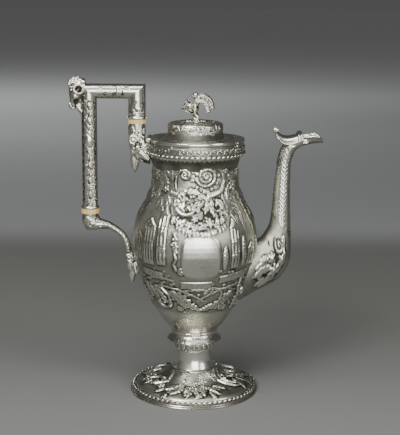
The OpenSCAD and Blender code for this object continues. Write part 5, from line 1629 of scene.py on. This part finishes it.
chased_piece("upper_socket_cast", upper_points, upper_work, CAST, POT, ("upper_socket",), 0.0,
             1.2, 0.05, (False, False))
flowers = []
for side in (-1, 1):
    lobe = [(-62.0 + (4.6 - 3.9 * k / 22) * math.cos(0.42 * k + 0.6), (6.4 + 0.06 * k) * side,
             261.0 + (4.9 - 4.1 * k / 22) * math.sin(0.42 * k + 0.6)) for k in range(23)]
    flowers += [roll(lobe, [1.9, 1.8, 1.5, 1.2, 0.9], 70, 16, 1.1),
                pellet((-62.0, 7.4 * side, 261.0), (1.7, 1.2, 1.7)),
                pellet((-62.0, 5.4 * side, 261.0), (5.2, 1.6, 5.4))]
    flowers += open_flower((-50.2, 6.6 * side, 255.0), (0.1, side, 0.15), 4.8, 5, 1.7)
# Painted shade: a dark spot on each open flower, just above its button.
cast_piece("upper_socket_flowers", flowers, ("upper_socket_rosettes",), 0.3,
           shaded_pits=[((-50.2, 7.0 * side, 258.4), 1.3) for side in (-1, 1)])
leaves = []
for side in (-1, 1):
    leaves += [
        blade((-59.0, 4.8 * side, 255.5), (-0.42, 0.02 * side, -0.9), (-0.1, side, 0.1), 11.5, 4.0, 0.02,
              0, 2.2),
        blade((-55.5, 5.4 * side, 253.5), (0.60, 0.02 * side, -0.8), (0, side, 0.1), 17.0, 5.0, 0.02, 0, 2.2),
        blade((-58.0, 5.8 * side, 253.0), (0.06, -0.06 * side, -1), (0, side, 0.1), 12.5, 3.4, 0.02, 0, 1.8),
        blade((-55.5, 6.4 * side, 267.0), (0.35, 0.02 * side, -0.95), (0, side, 0.1), 12.0, 2.8, 0.04,
              1, 1.4),
        blade((-60.3, 0.8 * side, 251), (-0.03, 0, -1), (0, side, 0), 23.5, 5.0, 0.0, 0, 2.4)]
cast_piece("upper_socket_foliage", leaves, ("upper_socket_leaves",), 0.32)

# %% Lower socket
ELBOW = [(-8.2, 0, 8, 0, 8), (-8, -9.6, 8, -3.4, 7.9), (-4, -17.2, 9.6, -5.4, 7.5),
         (4.2, -17.8, 12.4, -6.6, 6.7), (11.8, -16.2, 15.8, -7.8, 5.4)]
ARM = [(-25.6, 16.1, -23.2, 22.9, 4.4), (-21.2, 13.5, -18.1, 19.8, 4.2), (-16.1, 10.6, -13, 16.2, 4),
       (-12.4, 6.8, -7.9, 11.5, 3.9), (-10, 2, -4.9, 6.8, 3.8), (-8.6, -3.5, -2.4, 0.6, 3.8),
       (-8, -9, -0.9, -6.8, 3.9)]
ARM_SHIFT = (-BELLY_AT[0] - GRIP_X, BELLY_AT[1] - ELBOW_Z)
arm_stations = ELBOW + [
    (x0 + ARM_SHIFT[0], z0 + ARM_SHIFT[1], x1 + ARM_SHIFT[0], z1 + ARM_SHIFT[1], depth)
    for x0, z0, x1, z1, depth in ARM]
arm_points, arm_work = sweep(arm_stations, (GRIP_X, ELBOW_Z), 0.45, 120)
ARM_END = arm_work.length[-1]
for side in (1, -1):
    face = 0 if side > 0 else 180
    press_volute(arm_work, face + 20, 9, 3.6, 1.3, 90, side, 1.1, 1.2)
    for i in range(9):
        at = 20 + i * (ARM_END - 24) / 9
        press_leaf(arm_work, face - 24, at, 7.5, 1.5, 60, 0.4, 3, 0.7, 0.3)
        press_leaf(arm_work, face + 24, at, 7.5, 1.5, 120, 0.4, 3, 0.7, 0.3)
    for aim in (50, 90, 130):
        press_leaf(arm_work, face - 20, 3, 11, 2.2, aim, 0.6, 4, 0.8, 0.3)
arm_work.soften()
chased_piece("lower_socket_cast", arm_points, arm_work, CAST, POT, ("lower_socket",), 0.0, 1.2,
             0.05, (False, False))
KNOB = (-66.55, 0, 139.1)
knob_forms = [pellet(KNOB, (4.2, 4.0, 4.2)), roll([KNOB, (-60.6, 0, 139.1)], [2.9, 2.9], 4, 18)]
for side in (-1, 1):
    lobe = [(KNOB[0] + (4.3 - 3.4 * k / 20) * math.cos(2.4 - 0.42 * k), (3.6 + 0.07 * k) * side,
             KNOB[2] + (4.3 - 3.4 * k / 20) * math.sin(2.4 - 0.42 * k)) for k in range(21)]
    knob_forms += [roll(lobe, [1.6, 1.5, 1.3, 1.0], 60, 16),
                   pellet((KNOB[0], 4.4 * side, KNOB[2]), (1.4, 1.0, 1.4))]
cast_piece("lower_socket_flower", knob_forms, ("lower_socket_rosette",), 0.3)
leaves = []
for side in (-1, 1):
    leaves += [
        blade((-65.8, 2.4 * side, 137), (-0.02, 0.02 * side, -1), (0, side, 0), 12.0, 3.6, 0.02, 0, 2.0),
        blade((-62.8, 1.4 * side, 131), (-0.10, 0, -1), (0, side, 0), 19.0, 3.8, 0.0, 0, 2.2),
        blade((-60.8, 3.4 * side, 136), (0.18, 0.12 * side, -1), (-0.3, side, 0), 15.0, 3.4, 0.02, 0, 1.8),
        blade((-57.5, 6.2 * side, 134), (0.55, 0.50 * side, -0.95), (-0.7, side, 0), 14.0, 3.2, 0.0, 1, 1.6)]
cast_piece("lower_socket_foliage", leaves, ("lower_socket_leaves",), 0.32)

# %% [markdown]
# ## Ram's head
#
# A ram's head is an old figure for the corner of a handle. The head is melted from a tapering roll for
# the skull and muzzle, pellets for brow, cheeks, nostrils and eyes, small curls for the fleece, and
# strands for the beard. The horns are separate castings, each a ridged roll wound once round the ear.

# %% Model the ram's head
RAM_AT = np.array([-114.3, 0, 316.8])
SKULL = [(4.1, 4.8, 5.1, -9.7, 6.3), (-1.9, 5.6, 1.1, -13.7, 6.8), (-8.2, 2.6, -1.4, -16.2, 6.6),
         (-11.3, -3.2, -3.4, -18.2, 5.6), (-11.6, -9.7, -3.9, -20.2, 4.6), (-11.4, -16.2, -4.6, -22.0, 3.7),
         (-11.3, -21.2, -5.0, -24.2, 3.3), (-10.4, -24.6, -6.2, -25.8, 2.4)]
skull_points, _ = sweep(SKULL, (RAM_AT[0], RAM_AT[2]), 0.5, 48)
ram_forms = [skull_points]


def on_ram(x, y, z):
    """A place given from the outer corner of the handle."""
    return RAM_AT + np.array([x, y, z])


ram_forms += [pellet(on_ram(-10.6, 0, -8), (1.6, 1.5, 7)), pellet(on_ram(-10.2, 0, -22.6), (2.0, 3.4, 2.2))]
for side in (-1, 1):
    ram_forms += [
        pellet(on_ram(-9.6, 3.9 * side, -3.6), (2.5, 2.0, 1.8)),
        pellet(on_ram(-8.9, 5.2 * side, -6.4), (1.6, 1.2, 1.2)),
        roll([on_ram(-11.2, 3.9 * side, -4.6), on_ram(-8.8, 6.1 * side, -3.9),
              on_ram(-6.6, 6.2 * side, -6.0)], [0.5, 0.8, 0.5], 16, 10),
        pellet(on_ram(-5.4, 4.6 * side, -12.4), (3.0, 1.7, 3.6)),
        pellet(on_ram(-11.0, 2.4 * side, -20.6), (1.3, 1.2, 1.9)),
        pellet(on_ram(-8.0, 2.6 * side, -24.3), (2.2, 1.3, 1.4)),
        blade(on_ram(-1.5, 6.0 * side, -8), (-0.1, 0.35 * side, -0.95), (-1, 0.4 * side, 0), 6.5, 1.9, 0.1,
              1, 0.9, 0.5)]
for row in range(4):
    for i in range(7 - row % 2):
        side_turn = -1.2 + 2.4 * (i + 0.5 * (row % 2)) / 6
        back = -9.6 + 3.0 * row
        top = 3.2 + (0.9, 1.9, 2.0, 1.2)[row] - (1.1 if row == 0 else 0)
        spot = on_ram(back - 0.6 * abs(side_turn), 5.6 * math.sin(side_turn),
                      -1.6 + (top + 1.2) * math.cos(side_turn))
        curl = []
        for k in range(11):
            out, rise = math.cos(0.8 * k), math.sin(0.8 * k)
            curl.append(spot + (1.5 - 0.11 * k) * np.array([out, 0.15 * rise, rise]))
        ram_forms.append(roll(curl, [0.95, 0.85, 0.6], 26, 12))
for lock in range(9):
    side = lock % 3 - 1
    high = lock // 3
    start = on_ram(-4.6 + 1.7 * high, 2.6 * side, -14.5 - 2.4 * high)
    ram_forms.append(roll([start, start + (0.3, 0.5 * side, -5), start + (1.8, 0.7 * side, -9.5),
                           start + (2.0 + 0.5 * high, 0.2 * side, -13.5)], [1.2, 1.4, 1.0, 0.4], 24, 14,
                          ridges=4, ridge=0.18, twist=9))
# Painted shade: dark spots in the ear, the eye, the nostril, the cheek, under the brow and the mouth
RAM_SHADED_PITS = [(-1.4, 6.4, -5.2, 4.2), (-8.9, 6.2, -7.6, 1.2), (-11.8, 2.8, -22.6, 0.9),
            (-4.6, 4.2, -18.0, 3.2), (-6.0, 5.6, -9.0, 1.2), (-8.2, 3.6, -22.6, 1.1)]
cast_piece("ram_head_cast", ram_forms, ("ram_head",), 0.32, 1, 2.8,
           [(on_ram(x, y * side, z), reach) for x, y, z, reach in RAM_SHADED_PITS for side in (-1, 1)])

# %% Wind the horns
horns = []
for side in (-1, 1):
    path = []
    for k in range(29):
        turn = math.radians(150 + 395 * k / 28)
        reach = 4.7 - 0.9 * (k / 28) ** 3
        path.append(on_ram(-1.4 + reach * math.cos(turn), (7.4 + 1.1 * k / 28) * side,
                           -5.2 + reach * math.sin(turn)))
    horns.append(roll(path, [1.7, 1.6, 1.5, 1.4, 1.0, 0.5], 150, 18, ridge=0.10, twist=2 * math.pi * 24))
    ear = [on_ram(-3.4, 6.6 * side, -7.6), on_ram(-0.6, 8.2 * side, -4.0)]
    horns.append(roll(ear, [0.9, 0.7, 0.3], 12, 12))
cast_piece("ram_horns_cast", horns, ("ram_horns",), 0.24, 0, 3.0)

# %% [markdown]
# ## Flower finial
#
# The knob of the lid is a small bunch of flowers: a twisted stem on a ring of leaves, a bell flower and
# its bud to one side, a round bud on top, and a double plume that curls over to the other side. Its
# parts are melted into one casting, as the real one is.

# %% Model the finial
def bunch(x, y, z):
    """A place above the middle of the lid's crown."""
    return np.array([x, y, LID_TOP + z], float)


finial_forms = [
    lathe(bunch(0, 0, 0.2), (0, 0, 1), [(0, 8.2), (0.9, 7.6), (1.8, 4.6), (3.4, 2.9)], 40),
    roll([bunch(0, 0, 0.6), bunch(0.9, -0.4, 5), bunch(-0.8, 0.3, 9.5), bunch(0.5, 0, 14), bunch(0.4, 0, 19),
          bunch(-0.2, 0, 24)], [3.4, 2.9, 2.6, 2.4, 2.1, 1.8], 60, 20, ridges=3, ridge=0.20, twist=9)]
for i in range(9):
    turn = 2 * math.pi * (i + 0.3) / 9
    out = np.array([math.cos(turn), math.sin(turn), 0])
    finial_forms.append(blade(bunch(0, 0, 1.9) + 2.2 * out, out + (0, 0, -0.10), (0, 0, 1), 9.4, 2.7, 0.05,
                              3, 0.8, 0.1))
bell_aim = (-0.88, -0.10, 0.47)
finial_forms += [
    lathe(bunch(-0.6, 0, 12.0), bell_aim, [(0, 1.2), (3, 1.5), (6.5, 2.3), (9.5, 3.9), (11.6, 5.4),
          (12.4, 5.6), (11.9, 4.6), (9, 2.4), (6, 0.8)], 40, 5, 0.16, 0.45),
    roll([bunch(-6, -0.6, 14.9), bunch(-13.4, -1.6, 18.8)], [0.6, 0.8], 12, 10),
    blade(bunch(-1.4, 1.6, 13), (-0.62, 0.30, 0.80), (-0.5, 0.2, 0.6), 12.5, 3.4, 0.08, 4, 0.9),
    blade(bunch(-1.8, -1.0, 8.5), (-0.90, -0.25, 0.15), (0.1, -0.3, 1), 9.0, 2.8, 0.18, 3, 0.9),
    pellet(bunch(-5.4, -3.4, 15.4), (3.2, 2.8, 4.2)),
    roll([bunch(-0.6, -1, 9), bunch(-3.2, -2.9, 11), bunch(-5, -3.2, 13.5)], [1.0, 0.9, 0.9], 16, 12),
    pellet(bunch(-0.1, 0, 26.6), (3.1, 3.1, 3.5))]
for i in range(5):
    turn = 2 * math.pi * i / 5
    out = np.array([math.cos(turn), math.sin(turn), 0])
    finial_forms += [
        blade(bunch(-0.2, 0, 22.6) + 0.8 * out, 0.5 * out + (0, 0, 0.9), out, 6.4, 1.6, 0.16, 2, 0.7),
        blade(bunch(-4.4, -3.2, 11.8) + 0.7 * out, 0.35 * out + (-0.15, 0, 0.9), out, 6.2, 1.4, 0.10, 2, 0.6)]
print("forms of the flowers:", len(finial_forms))

# %% Curl the plume
OUTER_PLUME = [(0.2, 16), (0.8, 22), (4.4, 26.0), (9.2, 26.4), (14.0, 23.2), (17.0, 17.6), (17.6, 12.6)]
INNER_PLUME = [(0.4, 12), (1.8, 18.2), (5.0, 21.6), (8.4, 21.4), (11.2, 18.2), (13.0, 13.6), (14.2, 9.6)]
for line, thick, lean in (
        (OUTER_PLUME, [2.0, 2.4, 2.4, 2.3, 2.0, 1.3], 0.7),
        (INNER_PLUME, [1.8, 2.1, 2.0, 1.8, 1.0], -0.9)):
    spine = np.array([bunch(x, lean, z) for x, z in line])
    finial_forms.append(roll(spine, thick, 60, 20, 0.8, ridges=4, ridge=0.16))
    fine = smooth_path(spine, 20)
    heading = unit(np.gradient(fine, axis=0))
    for k in range(7, 18, 2):
        inner = np.array([heading[k][2], 0, -heading[k][0]])
        for side in (-1, 1):
            aim = 0.5 * heading[k] + 0.8 * inner + (0, 0.3 * side, 0)
            finial_forms.append(blade(fine[k] + (0, 0.5 * side, 0), aim, (0, side, 0), 4.2, 1.15, 0.1, 1,
                                      0.9, 0.1, 12, 12))
# Painted shade: dark spots beside the stem, between the two plumes and in the mouth of the bell.
finial_shaded_pits = [(bunch(x, y, z), reach) for x, y, z, reach in
               ((2.2, -2.2, 15, 2.0), (-2.6, -3.0, 10.2, 1.8), (4.6, -2, 23.9, 1.3), (8.8, -2, 24.0, 1.3),
                (12.6, -2, 20.8, 1.3), (15.0, -2, 15.6, 1.3), (-10.8, -0.6, 17.4, 2.4))]
cast_piece("finial_cast", finial_forms, ("finial",), 0.28, 1, 3.0, finial_shaded_pits, LID)

# %% [markdown]
# ## Rope wires
#
# Two rope wires go round the pot: one under the neck band, one round the foot. Each is a row of slanted
# beads about a thin core. A Geometry Nodes tree lays them out on a ring, so that the number of beads, the
# wire's thickness and the slant of its strands can be changed.

# %% Tree that lays a rope on a ring
def rope_tree():
    """Slanted beads evenly spaced on a ring, joined to a round core."""
    tree, given = new_tree("rope wire", {"Ring Radius": ("Float", 0.05), "Ring Height": ("Float", 0.1),
                           "Wire Radius": ("Float", 0.0015), "Strand": ("Float", 0.003),
                           "Beads": ("Int", 60), "Slant": ("Float", 0.35)})
    ring = add(tree, "GeometryNodeMeshCircle", {"Vertices": given["Beads"], "Radius": given["Ring Radius"]})
    index = add(tree, "GeometryNodeInputIndex")
    share = add(tree, "ShaderNodeMath", {0: index.outputs[0], 1: given["Beads"]}, operation="DIVIDE")
    angle = add(tree, "ShaderNodeMath", {0: share.outputs[0], 1: 2 * math.pi}, operation="MULTIPLY")
    turned = add(tree, "ShaderNodeCombineXYZ", {"Z": angle.outputs[0]})
    long = add(tree, "ShaderNodeMath", {0: given["Wire Radius"], 1: 0.95}, operation="MULTIPLY")
    size = add(tree, "ShaderNodeCombineXYZ", {"X": given["Wire Radius"], "Y": given["Strand"],
               "Z": long.outputs[0]})
    lean = add(tree, "ShaderNodeCombineXYZ", {"X": given["Slant"]})
    ball = add(tree, "GeometryNodeMeshUVSphere", {"Segments": 14, "Rings": 9, "Radius": 1.0})
    bead = add(tree, "GeometryNodeTransform", {"Geometry": ball.outputs[0], "Rotation": lean.outputs[0],
               "Scale": size.outputs[0]})
    beads = add(tree, "GeometryNodeInstanceOnPoints", {"Points": ring.outputs[0], "Instance": bead.outputs[0],
                "Rotation": turned.outputs[0]})
    core_line = add(tree, "GeometryNodeCurvePrimitiveCircle", {"Resolution": 120,
                    "Radius": given["Ring Radius"]})
    core_size = add(tree, "ShaderNodeMath", {0: given["Wire Radius"], 1: 0.6}, operation="MULTIPLY")
    core_ring = add(tree, "GeometryNodeCurvePrimitiveCircle", {"Resolution": 10,
                    "Radius": core_size.outputs[0]})
    core = add(tree, "GeometryNodeCurveToMesh", {"Curve": core_line.outputs[0],
               "Profile Curve": core_ring.outputs[0]})
    # The core is painted dark: painted shade in the gaps between the beads, with the oxide that stays there.
    shaded_core = add(tree, "GeometryNodeStoreNamedAttribute", {"Geometry": core.outputs[0], "Name": "oxide_and_shade",
                    "Value": 0.8}, data_type="FLOAT", domain="POINT")
    both = add(tree, "GeometryNodeJoinGeometry")
    tree.links.new(beads.outputs[0], both.inputs[0])
    tree.links.new(shaded_core.outputs[0], both.inputs[0])
    lift = add(tree, "ShaderNodeCombineXYZ", {"Z": given["Ring Height"]})
    placed = add(tree, "GeometryNodeTransform", {"Geometry": both.outputs[0], "Translation": lift.outputs[0]})
    smooth = add(tree, "GeometryNodeSetShadeSmooth", {"Geometry": placed.outputs[0]})
    finish_tree(tree, smooth.outputs[0], given["Material"])
    return tree


ROPE = rope_tree()
print("nodes of the rope:", len(ROPE.nodes))

# %% Lay the two wires
for name, radius, height, thick, beads in (
        ("neck_rope_wire", 49.2, 249.3, 1.5, 58), ("foot_rope_wire", 63.2, 5.8, 1.4, 72)):
    wire = grown(name + "_beads", bpy.data.meshes.new(name + "_seed"), ROPE, WIRE,
                 {"Ring Radius": radius * MM, "Ring Height": height * MM, "Wire Radius": thick * MM,
                  "Strand": 0.98 * math.pi * radius / beads * MM, "Beads": beads})
    fit_out(wire, POT, (name,))

# %% [markdown]
# ## Studio
#
# A mirror shows what stands around it, so silver is lit with large soft panels and a dark room behind.
# The panels in front of the pot give broad soft lights in the middle of every round form, and the dark
# room makes its edges dark. The floor is one wide sheet of pale paper, with painted shade just behind the
# pot and painted light towards its far edge.

# %% Floor
FLOOR_HALF = 60.0
floor_mesh = bpy.data.meshes.new("studio_floor")
corners = [(x * FLOOR_HALF, y * FLOOR_HALF, 0) for x, y in ((-1, -1), (1, -1), (1, 1), (-1, 1))]
floor_mesh.from_pydata(corners, [], [(0, 1, 2, 3)])
floor = link_piece("studio_floor", floor_mesh)
floor_paper = bpy.data.materials.new("pale paper floor")
floor_paper.use_nodes = True
paper = floor_paper.node_tree.nodes["Principled BSDF"]
paper.inputs["Roughness"].default_value = 0.8
# Light and shade painted into the paper's tones, by distance behind the pot in metres: painted darkest just
# behind it, as the shade where a real sheet bends up into the backdrop, and painted paler towards its far
# edge.
PAINTED_PAPER_SHADING = ((-0.15, "#787977"), (0.22, "#646561"), (0.62, "#5D5E5A"), (0.84, "#818283"),
               (2.4, "#8A8B8C"), (3.8, "#ABACAD"))
PAPER_FROM, PAPER_TO = -1.0, 4.0
sheet = floor_paper.node_tree
across = add(sheet, "ShaderNodeSeparateXYZ", {"Vector": add(sheet, "ShaderNodeTexCoord").outputs["Object"]})
share = add(sheet, "ShaderNodeMapRange", {"Value": across.outputs["Y"], "From Min": PAPER_FROM,
            "From Max": PAPER_TO})
tones = add(sheet, "ShaderNodeValToRGB", {"Fac": share.outputs["Result"]})
tones.color_ramp.interpolation = "EASE"
for _ in PAINTED_PAPER_SHADING[2:]:
    tones.color_ramp.elements.new(0.5)
for stop, (at, tone) in zip(tones.color_ramp.elements, PAINTED_PAPER_SHADING):
    stop.position = (at - PAPER_FROM) / (PAPER_TO - PAPER_FROM)
    stop.color = linear(tone)
sheet.links.new(tones.outputs["Color"], paper.inputs["Base Color"])
floor_mesh.materials.append(floor_paper)
print("tones of the floor:", len(PAINTED_PAPER_SHADING))


# %% Lights
def softbox(name, at, aim, size, watts):
    """A square soft light at a place, aimed at another."""
    light = bpy.data.lights.new(name, "AREA")
    light.shape = "RECTANGLE"
    light.size, light.size_y = size
    light.energy = watts
    lamp = bpy.data.objects.new(name, light)
    turn = (Vector(aim) - Vector(at)).to_track_quat("-Z", "Y")
    lamp.matrix_world = Matrix.Translation(at) @ turn.to_matrix().to_4x4()
    bpy.context.scene.collection.objects.link(lamp)
    print(name, watts, "W")


POT_MIDDLE = (0, 0, 0.16)
softbox("key_softbox", (-0.9, -1.5, 1.5), POT_MIDDLE, (0.7, 0.7), 32)
softbox("fill_softbox", (1.5, -1.1, 0.9), POT_MIDDLE, (0.7, 1.2), 12)
softbox("front_card", (0.30, -2.4, 0.62), POT_MIDDLE, (1.7, 1.1), 38)
softbox("top_panel", (-0.1, -0.55, 1.75), (0, 0, 0.3), (1.3, 0.5), 14)
softbox("backdrop_wash", (-0.9, 2.6, 1.6), (-0.9, 3.4, 0), (1.6, 1.0), 30)

# %% Room
ROOM_FRONT, ROOM_BACK = 0.42, 0.09  # how bright the room is before the pot and behind it
world = bpy.data.worlds.new("studio_room")
world.use_nodes = True
room = world.node_tree
facing = add(room, "ShaderNodeTexCoord").outputs["Generated"]
split = add(room, "ShaderNodeSeparateXYZ", {"Vector": facing}).outputs["Y"]
shade = add(room, "ShaderNodeMapRange", {"Value": split, "From Min": -0.9, "From Max": 0.5,
            "To Min": ROOM_FRONT, "To Max": ROOM_BACK}, interpolation_type="SMOOTHSTEP")
background = room.nodes["Background"]
background.inputs["Color"].default_value = linear("#F4F4F2")
room.links.new(shade.outputs["Result"], background.inputs["Strength"])
bpy.context.scene.world = world
print("room:", ROOM_FRONT, "in front,", ROOM_BACK, "behind")
